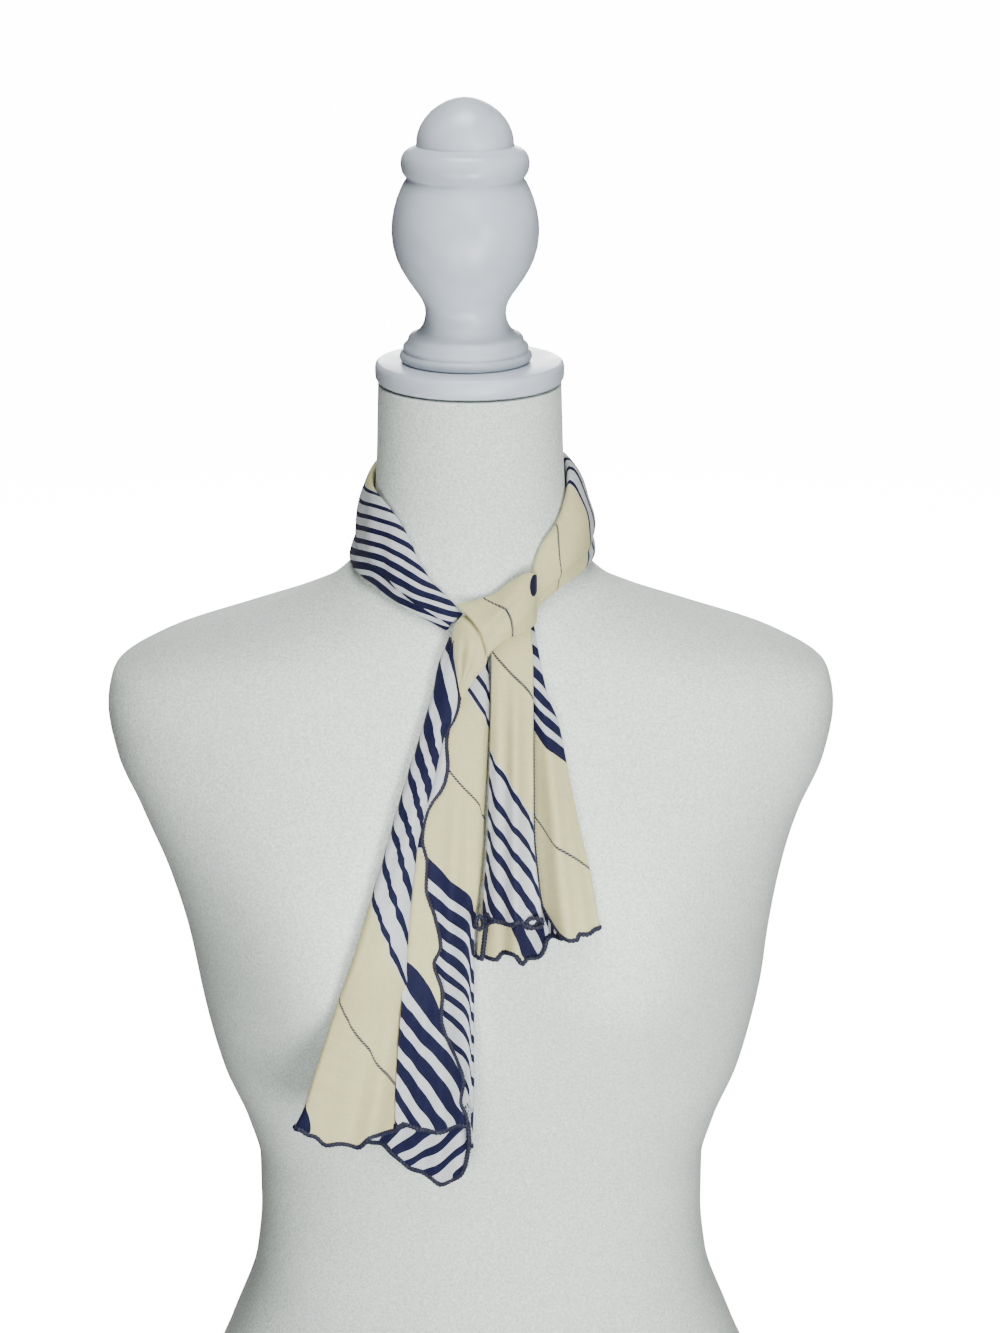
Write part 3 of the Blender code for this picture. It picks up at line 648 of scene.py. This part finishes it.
def knitted_jersey():
    """White brushed jersey over the form: matt, with a fine grain of loops and flecks of lint,
    the darker ones the lint's own tone and the bright ones painted glints of light."""
    material, tree, shader = new_material("knitted_jersey")
    where = node(tree, "ShaderNodeTexCoord", {}).outputs["Object"]
    # Rows of loops are 0.7 mm apart and run round the form; lint flecks are 1.2 mm across, and the
    # bright ones are painted glints.
    rows = vector_maths(tree, "MULTIPLY", {1: (0.3, 0.3, 1.0), 0: where})
    loops = noise(tree, rows, Scale=LOOP_SCALE, Detail=1.0)
    lint_and_glints = noise(tree, where, Scale=LINT_AND_GLINT_SCALE, Detail=2.0, Roughness=0.6)
    patches = noise(tree, where, Scale=PATCH_SCALE, Detail=3.0)
    # Fleck colour: darker flecks are the lint's own tone, lighter flecks are painted glints.
    flecks_and_glints = two_tone(tree, lint_and_glints, (0.34, "#b4bdb6"), (0.68, "#d9e2da"))
    shade = mapped(tree, patches, (0.3, 0.7), (0.96, 1.03))
    height = maths(tree, "ADD", loops, lint_and_glints)
    fill(tree, shader, {
        "Base Color": vector_maths(tree, "SCALE", {0: flecks_and_glints, "Scale": shade}),
        "Normal": relief(tree, height, strength=0.4, distance=0.0004),
        "Roughness": 0.9,
        "Specular IOR Level": 0.25,
        "Sheen Weight": 0.08,
        "Sheen Roughness": 0.4,
    })
    return material


def painted_turned_wood():
    """Turned wood in white satin paint: even, cool white, with faint lathe lines and a
    slightly uneven paint film."""
    material, tree, shader = new_material("painted_turned_wood")
    where = node(tree, "ShaderNodeTexCoord", {}).outputs["Object"]
    # Lathe lines 2.5 mm apart run round the piece, so the grain is squeezed along Z.
    squeezed = vector_maths(tree, "MULTIPLY", {1: LATHE_SQUEEZE, 0: where})
    lathe = noise(tree, squeezed, Scale=1.0, Detail=2.0)
    film = noise(tree, where, Scale=FILM_SCALE, Detail=3.0)
    height = maths(tree, "ADD", lathe, film)
    fill(tree, shader, {
        "Base Color": two_tone(tree, film, (0.3, "#acb4be"), (0.7, "#b7bfc8")),
        "Roughness": mapped(tree, film, (0.3, 0.7), (0.3, 0.42)),
        "Normal": relief(tree, height, strength=0.12, distance=0.0006),
    })
    return material


CREPE = printed_crepe()
THREAD = overlock_thread()
JERSEY = knitted_jersey()
PAINTED_WOOD = painted_turned_wood()


def settle(piece, slot, *replaced):
    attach(piece, "root")
    if replaced:
        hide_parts(*replaced)
    return piece


# ==================== camera, floor and light
SENSOR_HEIGHT = 36.0
LENS = 75.6
CAMERA_PLACE = (0.016, -1.457, 1.036)
CAMERA_DROP = 18.5           # degrees below level


def set_camera():
    data = bpy.data.cameras.new("camera")
    data.sensor_fit = "VERTICAL"
    data.sensor_height = SENSOR_HEIGHT
    data.lens = LENS
    camera = bpy.data.objects.new("camera", data)
    camera.location = CAMERA_PLACE
    camera.rotation_euler = (math.radians(90.0 - CAMERA_DROP), 0.0, 0.0)
    bpy.context.scene.collection.objects.link(camera)
    bpy.context.scene.camera = camera


FLOOR_RADIUS = 40.0          # metres
FLOOR_LEVEL = -0.5
FLOOR_SIDES = 64
FLOOR_GLOW = 15.0


def make_floor():
    """White studio floor that glows for the eye only, so that it doesn't light the form."""
    material, tree, shader = new_material("studio_floor")
    fill(tree, shader, {
        "Base Color": linear("#f2f2f2"),
        "Roughness": 0.9,
        "Emission Color": (1.0, 1.0, 1.0, 1.0),
        "Emission Strength": FLOOR_GLOW,
    })
    angles = ring_angles(FLOOR_SIDES)
    rim = np.stack([np.cos(angles), np.sin(angles), np.zeros(FLOOR_SIDES)], axis=-1)
    points = rim * FLOOR_RADIUS / MM
    points[:, 2] = FLOOR_LEVEL
    floor = add_piece("floor", points, [list(range(FLOOR_SIDES))], material)
    floor.visible_diffuse = False
    floor.visible_glossy = False


# Name, place, aim, size and power of each soft box, in metres and watts.
SOFT_BOXES = (
    ("key", (0.24, -0.80, 0.40), (0.05, -0.1, 0.42), 0.3, 9.2),
    ("left", (-0.24, -0.80, 0.38), (-0.05, -0.1, 0.42), 0.3, 4.6),
    ("side", (1.2, -1.8, 0.85), (0.0, 0.0, 0.45), 0.6, 22.0),
    ("head", (0.15, -0.7, 1.2), (0.0, 0.0, 0.80), 0.3, 2.4),
    ("top", (0.0, -0.3, 2.4), (0.0, 0.0, 0.6), 0.9, 48.0),
    ("back", (0.0, 2.4, 1.0), (0.0, 0.0, 0.45), 0.8, 40.0),
)
SKY_STRENGTH = 0.08


def make_lights():
    for name, place, aim, size, power in SOFT_BOXES:
        data = bpy.data.lights.new(name, "AREA")
        data.shape = "SQUARE"
        data.size = size
        data.energy = power
        light = bpy.data.objects.new(name, data)
        light.location = place
        heading = np.array(aim) - np.array(place)
        level = math.hypot(heading[0], heading[1])
        light.rotation_euler = (math.atan2(level, -heading[2]), 0.0,
                                math.atan2(-heading[0], heading[1]))
        light.visible_camera = False
        bpy.context.scene.collection.objects.link(light)
    world = bpy.data.worlds.new("studio")
    world.use_nodes = True
    sky = world.node_tree.nodes["Background"]
    sky.inputs["Color"].default_value = linear("#f4f6f8")
    sky.inputs["Strength"].default_value = SKY_STRENGTH
    bpy.context.scene.world = world


set_camera()
make_floor()
make_lights()

# ==================== dress form
FORM_SIDES = 192
FORM_RINGS = 300
FORM_SHARP = 50.0            # degrees over which an edge stays sharp
TURNED_SIDES = 144
TURNED_SHARP = 40.0
LEAST_RADIUS = 0.02


def turned_piece(name, solid, profile, foot, axis_x):
    """Closed turned piece from (height, radius) pairs, with a flat underside."""
    heights = np.array([height for height, _ in profile]) + foot
    radii = np.maximum([radius for _, radius in profile], LEAST_RADIUS)
    angles = ring_angles(TURNED_SIDES)
    points = np.stack([
        axis_x + radii[:, None] * np.cos(angles),
        NECK_AXIS_Y + radii[:, None] * np.sin(angles),
        np.broadcast_to(heights[:, None], (len(radii), TURNED_SIDES)),
    ], axis=-1).reshape(-1, 3)
    piece = add_piece(name, points, capped_faces(len(radii), TURNED_SIDES), PAINTED_WOOD,
                      sharp=TURNED_SHARP)
    settle(piece, "painted_wood", solid)


def build_form():
    heights = np.linspace(0.0, NECK_TOP, FORM_RINGS)[:, None]
    points = form_point(heights, ring_angles(FORM_SIDES)[None, :]).reshape(-1, 3)
    torso = add_piece("jersey_torso", points, capped_faces(FORM_RINGS, FORM_SIDES), JERSEY,
                      sharp=FORM_SHARP)
    settle(torso, "jersey_cover", "form_torso")
    turned_piece("turned_plate", "neck_plate", PLATE_PROFILE, PLATE_FOOT, 0.0)
    turned_piece("turned_finial", "finial", FINIAL_PROFILE, FINIAL_FOOT, FINIAL_AXIS_X)


build_form()


# ==================== cloth and its edges
def lengths_across(grid):
    """Distance along each row of a grid of points from its first point."""
    lengths = np.cumsum(np.linalg.norm(np.diff(grid, axis=1), axis=-1), axis=1)
    return np.concatenate([np.zeros((len(grid), 1)), lengths], axis=1)


def scarf_cloth(name, grid, band, *replaced):
    """Closed thin wall of cloth round a grid of points, with its place in the print.

    It returns the piece and the cloth's flat size in metres.
    """
    rows, columns = grid.shape[:2]
    across = np.broadcast_to(lengths_across(grid).mean(axis=0), (rows, columns))
    along = lengths_across(grid.swapaxes(0, 1)).T
    down, side = np.gradient(grid, axis=0), np.gradient(grid, axis=1)
    normal = unit(np.cross(side, down))
    outer, inner = grid + normal * CLOTH / 2.0, grid - normal * CLOTH / 2.0
    points = np.concatenate([outer.reshape(-1, 3), inner.reshape(-1, 3)])
    count = rows * columns
    front = grid_faces(rows, columns)
    faces = [front[:, ::-1], front + count]
    ends, sides = np.arange(columns), np.arange(rows) * columns
    for line, turned in ((ends, True), (ends + (rows - 1) * columns, False),
                         (sides, False), (sides + columns - 1, True)):
        strip = np.stack([line[:-1], line[1:], line[1:] + count, line[:-1] + count], axis=-1)
        faces.append(strip[:, ::-1] if turned else strip)
    flat = np.stack([across, along, np.zeros(across.shape)], axis=-1).reshape(-1, 3)
    fields = {"print_place": np.tile(band.ravel(), 2), "cloth_mm": np.tile(flat, (2, 1))}
    piece = add_piece(name, points, np.concatenate(faces).tolist(), CREPE, fields)
    settle(piece, "scarf_cloth", *replaced)
    width, length = across.max(), along.mean(axis=1).max()
    print(f"sheet {name}: {width:.0f} x {length:.0f} mm")
    return piece, (round(width * MM, 3), round(length * MM, 3))


def even_path(path, spacing):
    """The path at even steps, and the distance of each step from its start."""
    lengths = lengths_across(path[None])[0]
    count = max(2, int(lengths[-1] / spacing))
    at = np.linspace(0.0, lengths[-1], count + 1)
    return np.stack([np.interp(at, lengths, path[:, axis]) for axis in range(3)], axis=-1), at


def edge_thread(name, path, radius):
    """Overlocked edge: a thin tube along the edge of the cloth, swelling at each stitch."""
    path, lengths = even_path(path, HEM_SPACING)
    heading = unit(np.gradient(path, axis=0))
    sideways = unit(np.cross(heading, np.array(NEAR_DEPTH)))
    other = unit(np.cross(heading, sideways))
    swell = radius * (1.0 + STITCH_SWELL * np.sin(2.0 * math.pi * lengths / STITCH_PITCH))
    swell[[0, -1]] *= HEM_END
    angles = ring_angles(HEM_SIDES)
    ring = (sideways[:, None, :] * np.cos(angles)[None, :, None]
            + other[:, None, :] * np.sin(angles)[None, :, None])
    points = (path[:, None, :] + ring * swell[:, None, None]).reshape(-1, 3)
    piece = add_piece(name, points, capped_faces(len(path), HEM_SIDES), THREAD,
                      {"thread_mm": np.repeat(lengths, HEM_SIDES)})
    return settle(piece, "scarf_cloth")


# ==================== scarf round the neck
LOOP = Table(LOOP_COLUMNS, NECK_LOOP, by_row=True)
TOP_BOTTOM = ("top", "bottom")
LEFT_RIGHT = ("left", "right")
BAND_ROW_LENGTH = 20.0       # millimetres of cloth that a row stands for
# Two shallow drags run along the band: depth, and waves to each row and across the band.
BAND_DRAGS = ((0.7, 2.2, 5.0), (0.5, 4.1, -7.0))
BAND_DRAG_FROM = 0.25        # share of the stand-off from which they show
LEAST_OFF = 0.9
# The crease of the left band: the print jumps by half a stripe where the cloth is tucked.
TUCK_FIRST_ROW = 13.0
TUCK_LAST_ROW = 16.5
TUCK_DOWN = (0.74, 0.77)
TUCK_JUMP = 0.5


def smooth_section():
    """Fine (down, share, more) points of the folded band's section."""
    rows = np.array(BAND_SECTION)
    at = np.linspace(0.0, len(rows) - 1.0, BAND_ACROSS)
    # A uniform cubic spline through the rows keeps the folds round.
    index = np.clip(at.astype(int), 0, len(rows) - 2)
    t = (at - index)[:, None]
    padded_rows = np.concatenate([rows[:1], rows, rows[-1:]])
    p0, p1, p2, p3 = (padded_rows[index + shift] for shift in range(4))
    return 0.5 * (2.0 * p1 + (p2 - p0) * t + (2.0 * p0 - 5.0 * p1 + 4.0 * p2 - p3) * t ** 2
                  + (3.0 * p1 - p0 - 3.0 * p2 + p3) * t ** 3)


def build_bands():
    down, share, more = smooth_section().T
    upper, lower = int(np.argmin(down)), int(np.argmax(down))
    for name, solid, first, last in BANDS:
        count = int((last - first) * BAND_ROW_LENGTH / BAND_ALONG)
        place = np.linspace(first, last, count + 1)[:, None]
        turn = LOOP.between(TOP_BOTTOM, "turn", place, down)
        height = LOOP.between(TOP_BOTTOM, "height", place, down)
        drag = sum(deep * np.sin(on * place + over * down) for deep, on, over in BAND_DRAGS)
        off = share * LOOP.at("stand_off", place) + more
        off = np.maximum(off + drag * np.clip(share - BAND_DRAG_FROM, 0.0, 1.0), LEAST_OFF)
        grid = neck_point(turn, height) + neck_normal(turn, height) * off[..., None]
        # The print runs evenly over the cloth between the middles of the two rolled edges.
        lengths = lengths_across(grid)
        run = lengths[:, [lower]] - lengths[:, [upper]]
        share_over = np.abs(lengths - lengths[:, [upper]]) / run
        share_over = np.where(share_over > 1.0, 2.0 - share_over, share_over)
        band = LOOP.between(TOP_BOTTOM, "band", place, share_over)
        tuck = smooth_share(place, TUCK_FIRST_ROW, TUCK_LAST_ROW)
        band = band + TUCK_JUMP * tuck * smooth_share(down, *TUCK_DOWN)
        piece, flat = scarf_cloth(name, grid, band, solid)


build_bands()

# ==================== knot
WRAP = Table(WRAP_COLUMNS, WRAP_ROWS, by_row=True)
LOBE = Table(LOBE_COLUMNS, LOBE_ROWS, by_row=True)
KNOT_ROW_COUNT = 110
KNOT_ACROSS = 64
BOW_FULLNESS = 0.8
BOW_RISE = 0.65              # how far the bowed cloth rises for each millimetre aside
# Creases: where along the rows and across them they start and end, their depth and width.
WRAP_CREASES = (
    (2, 0.1, 6, 0.42, -0.9, 0.05),
    (3.4, 0.95, 8.6, 0.62, -0.9, 0.05),
    (6.8, 0.12, 9.4, 0.3, -0.8, 0.05),
    (2.2, 0.55, 5.2, 0.78, 0.7, 0.06),
    (5, 0.25, 9, 0.5, 0.7, 0.06),
)
LOBE_CREASES = (
    (1.4, 0.75, 6, 0.62, -0.9, 0.07),
    (2, 0.35, 5.4, 0.25, -0.8, 0.06),
    (2, 0.52, 6.5, 0.45, 0.7, 0.07),
)
CREASE_FADE_IN = (-0.15, 0.2)
CREASE_FADE_OUT = (0.8, 1.15)
# A leaf of the next repeat's first navy stripe shows at the top right of the wrap: its middle,
# its half width and half height, its soft rim and its place in the print.
LEAF_X, LEAF_Z = 33.6, 612.0
LEAF_WIDTH, LEAF_HEIGHT = 3.0, 6.0
LEAF_RIM = (0.55, 1.25)
LEAF_PLACE = 15.3
LOBE_PLACE = 13.0            # the lobe is plain cream


def crease_field(place, share, creases, row_scale):
    """Depth of a set of straight creases over a grid of (place, share)."""
    depth = np.zeros(np.broadcast_shapes(np.shape(place), np.shape(share)))
    for place_a, share_a, place_b, share_b, deep, width in creases:
        run, rise = (place_b - place_a) * row_scale, share_b - share_a
        length = math.hypot(run, rise)
        u, v = (place - place_a) * row_scale, share - share_a
        along = (u * run + v * rise) / length ** 2
        off = (u * rise - v * run) / length
        ends = smooth_share(along, *CREASE_FADE_IN) * (1.0 - smooth_share(along, *CREASE_FADE_OUT))
        depth = depth + deep * ends * np.exp(-0.5 * (off / width) ** 2)
    return depth


def knot_sheet(name, x, z, off, band, *replaced):
    grid = np.stack([x, -form_front(x, z) - off, z], axis=-1)
    piece, flat = scarf_cloth(name, grid, band, *replaced)


def build_knot():
    share = np.linspace(0.0, 1.0, KNOT_ACROSS)[None, :]
    arch = np.sin(math.pi * share)
    last = len(WRAP_ROWS) - 1.0
    place = np.linspace(0.0, last, KNOT_ROW_COUNT)[:, None]
    bow = WRAP.at("bow", place) * arch ** BOW_FULLNESS
    x = WRAP.between(TOP_BOTTOM, "x", place, share) + bow
    z = WRAP.between(TOP_BOTTOM, "z", place, share) + BOW_RISE * bow
    off = WRAP.between(TOP_BOTTOM, "off", place, share)
    off = off + WRAP.at("bulge", place) * arch ** WRAP_FULLNESS
    off = off + crease_field(place, share, WRAP_CREASES, 1.0 / last)
    line_x = WRAP_LINE_X + WRAP_LINE_RUN * (1.0 - (1.0 - share) ** WRAP_LINE_BEND)
    band = LINE_PLACE + WRAP_PRINT_RATE * (x - line_x)
    away = np.hypot((x - LEAF_X) / LEAF_WIDTH, (z - LEAF_Z) / LEAF_HEIGHT)
    band = blend(band, LEAF_PLACE, 1.0 - smooth_share(away, *LEAF_RIM))
    knot_sheet("knot_wrap", x, z, off, band, "scarf_knot")
    last = len(LOBE_ROWS) - 1.0
    place = np.linspace(0.0, last, KNOT_ROW_COUNT)[:, None]
    x = LOBE.between(LEFT_RIGHT, "x", place, share)
    z = LOBE.between(LEFT_RIGHT, "z", place, share)
    off = LOBE.between(LEFT_RIGHT, "off", place, share)
    off = off + LOBE.at("bulge", place) * arch ** LOBE_FULLNESS
    off = off + crease_field(place, share, LOBE_CREASES, 1.0 / last)
    knot_sheet("knot_lobe", x, z, off, np.full(x.shape, LOBE_PLACE))


build_knot()


# ==================== tails
def strip_columns(panel_steps):
    """(panel, share, turn) of each point along a folded strip; turn is 0 on a flat panel."""
    points = []
    last = len(panel_steps) - 1
    for panel, steps in enumerate(panel_steps):
        points += [(panel, step / steps, 0.0) for step in range(steps + 1)]
        if panel < last:
            points += [(panel, 1.0, math.pi * step / (FOLD_POINTS + 1))
                       for step in range(1, FOLD_POINTS + 1)]
    return points


def long_levels(height):
    share = smooth_share(height, LONG_TURN_LOW, LONG_TURN_HIGH)
    turned = [blend(low, high, share) for low, high in zip(LONG_LEVELS_LOW, LONG_LEVELS_HIGH)]
    return (*turned, 0.0 * height, 0.0 * height + 1.0)


def short_levels(height):
    return tuple(0.0 * height + level for level in SHORT_LEVELS)


# Soft swellings of the visible panels towards the viewer: how far at the hem and at the top,
# and how round the print looks, from 0 for a flat panel to 1 for half a cylinder.
LONG_SWELL = {0: (2.4, 0.4, 0.35), 2: (4.2, 1.2, 0.5), 4: (2.2, 1.2, 0.3)}
SHORT_SWELL = {0: (3.4, 1.6, 0.45), 5: (4.6, 2.2, 0.6)}
SWELL_POWER = 0.9
SWELL_RISE = 60.0            # the swelling shrinks from this far above the lowest row
# Long soft drags that all layers of a tail share, so that they stay nested: the place at the
# knot and at the hem, the depth, the width and how far down the drag begins.
LONG_DRAGS = (
    (-2, -80, 1.5, 5, 0.4),
    (-3, -60, 7.5, 6, 0.4),
    (-5, -33, 3, 3.5, 0.3),
    (-2, -18, 5.5, 5, 0.1),
    (6, -1, 2.5, 2.5, 0.2),
)
SHORT_DRAGS = (
    (15, 13, 2, 2.6, 0),
    (24, 24, 5, 3.6, 0),
    (36, 53, 8, 5, 0.1),
    (38, 65, 2, 2.6, 0.2),
)
DRAG_TOP_WIDTH = 0.5         # share of the width at the knot
DRAG_GROWTH = 0.4            # share of the tail over which a drag deepens


def drag_depth(x, height, drags, top, foot):
    depth = np.zeros(np.shape(x))
    share = (top - height) / (top - foot)
    for start, stop, deep, width, begin in drags:
        off = (x - blend(start, stop, share)) / blend(DRAG_TOP_WIDTH * width, width, share)
        grown = smooth_share(share, begin, begin + DRAG_GROWTH)
        depth = depth + deep * grown * np.exp(-0.5 * off * off)
    return depth


def fold_reach(folds, depths, fold):
    """How far before a fold its panels stop, to leave room for the round turn between them."""
    if fold in (0, len(folds) - 1):
        return 0.0 * folds[fold]
    before = folds[fold] - folds[fold - 1]
    after = folds[fold + 1] - folds[fold]
    change = 0.5 * np.abs(depths[fold] - depths[fold - 1])
    taken = np.minimum(change, FOLD_SHARE * np.minimum(np.abs(before), np.abs(after)))
    return np.where(before * after >= 0.0, 0.0, taken)


def tail_grid(names, rows, levels_at, hem, prints, swells, drags):
    """Grid of points down a pleated tail, with its place in the print."""
    folds_table = Table((("height",) + names), rows)
    hem_curve = Table(HEM_COLUMNS, hem)
    top, foot = folds_table.last, folds_table.first
    panel_steps = []
    for first, second in zip(names, names[1:]):
        widest = np.abs(folds_table.values[first] - folds_table.values[second]).max()
        panel_steps.append(max(2, math.ceil(widest / PANEL_STEP)))
    columns = strip_columns(panel_steps)
    row_count = int((top - foot) / ROW_STEP)
    down = np.linspace(0.0, 1.0, row_count + 1)
    grid = np.empty((row_count + 1, len(columns), 3))
    for index, (panel, share, turn) in enumerate(columns):
        height = blend(top, hem_curve.at("height", panel + share), down)
        pitch = blend(PITCH_LOW, PITCH_TOP, smooth_share(height, PITCH_LEVEL, top))
        folds = [folds_table.at(name, height) for name in names]
        depths = [level * pitch for level in levels_at(height)]
        way = np.sign(folds[panel + 1] - folds[panel])
        room = fold_reach(folds, depths, panel + 1)
        start = folds[panel] + way * fold_reach(folds, depths, panel)
        x, depth = blend(start, folds[panel + 1] - way * room, share), depths[panel]
        if turn > 0.0:
            x = x + way * room * math.sin(turn)
            change = depths[panel + 1] - depths[panel]
            depth = depth + change * 0.5 * (1.0 - math.cos(turn))
        elif panel in swells:
            low, high, _ = swells[panel]
            swell = blend(low, high, smooth_share(height, foot + SWELL_RISE, top))
            depth = depth + swell * max(0.0, math.sin(math.pi * share)) ** SWELL_POWER
        clear = blend(TAIL_CLEAR, TAIL_CLEAR_TOP, smooth_share(height, CLEAR_LEVEL, top))
        out = hang_depth(x, height) + clear + depth + drag_depth(x, height, drags, top, foot)
        grid[:, index] = np.stack([x, -out, height], axis=-1)
    # Between the middles of two folds the print runs evenly with the distance over the cloth.
    band = np.empty(grid.shape[:2])
    lengths = lengths_across(grid)
    middles = [index for index, (_, _, turn) in enumerate(columns)
               if abs(turn - math.pi / 2.0) < 0.01]
    middles = [0, *middles, len(columns) - 1]
    for panel, (first, last) in enumerate(zip(middles, middles[1:])):
        run = lengths[:, last] - lengths[:, first]
        share = (lengths[:, first:last + 1] - lengths[:, [first]]) / run[:, None]
        share = np.clip(share, 0.0, 1.0)
        if panel in swells:
            share = blend(share, np.arccos(1.0 - 2.0 * share) / math.pi, swells[panel][2])
        heights = grid[:, first:last + 1, 2]
        near, far = (smooth_curve(*zip(*sorted(prints[name])), heights)
                     for name in (names[panel], names[panel + 1]))
        band[:, first:last + 1] = blend(near, far, share)
    return grid, np.minimum(band, LAST_PLACE)


TAILS = (
    ("tail_long", "scarf_tail_long", LONG_COLUMNS[1:], LONG_FOLDS, long_levels, LONG_HEM,
     LONG_PRINT, LONG_SWELL, LONG_DRAGS),
    ("tail_short", "scarf_tail_short", SHORT_COLUMNS[1:], SHORT_FOLDS, short_levels, SHORT_HEM,
     SHORT_PRINT, SHORT_SWELL, SHORT_DRAGS),
)
# Small loops where the short tail's hem curls up: x, height, half width and half height.
HEM_CURLS = ((33.9, 452.6, 4.2, 2.6), (5.4, 449.0, 1.8, 3.8))
CURL_REACH = 3.0             # a curl lies in front of the cloth this near to its middle
CURL_CLEAR = 1.4
CURL_POINTS = 41


def hem_curl(name, grid, x, height, half_width, half_height):
    """Loop of the overlocked edge lying on the cloth in front of a point."""
    points = grid.reshape(-1, 3)
    near = points[np.hypot(points[:, 0] - x, points[:, 2] - height) < CURL_REACH]
    turns = np.linspace(0.0, 2.0 * math.pi, CURL_POINTS)
    path = np.stack([x + half_width * np.cos(turns),
                     0.0 * turns + near[:, 1].min() - CURL_CLEAR,
                     height + half_height * np.sin(turns)], axis=-1)
    return edge_thread(name, path, SELVAGE_RADIUS)


def build_tails():
    for name, solid, *shape in TAILS:
        grid, band = tail_grid(*shape)
        piece, flat = scarf_cloth(name, grid, band, solid)
        edges = [
            edge_thread(f"{name}_hem", grid[-1], HEM_RADIUS),
            edge_thread(f"{name}_selvage", grid[grid[:, 0, 2] < SELVAGE_TOP, 0],
                        SELVAGE_RADIUS),
            edge_thread(f"{name}_inner_selvage", grid[:, -1], SELVAGE_RADIUS),
        ]
        if name == "tail_short":
            edges += [hem_curl(f"{name}_curl_{index}", grid, *curl)
                      for index, curl in enumerate(HEM_CURLS, 1)]


build_tails()
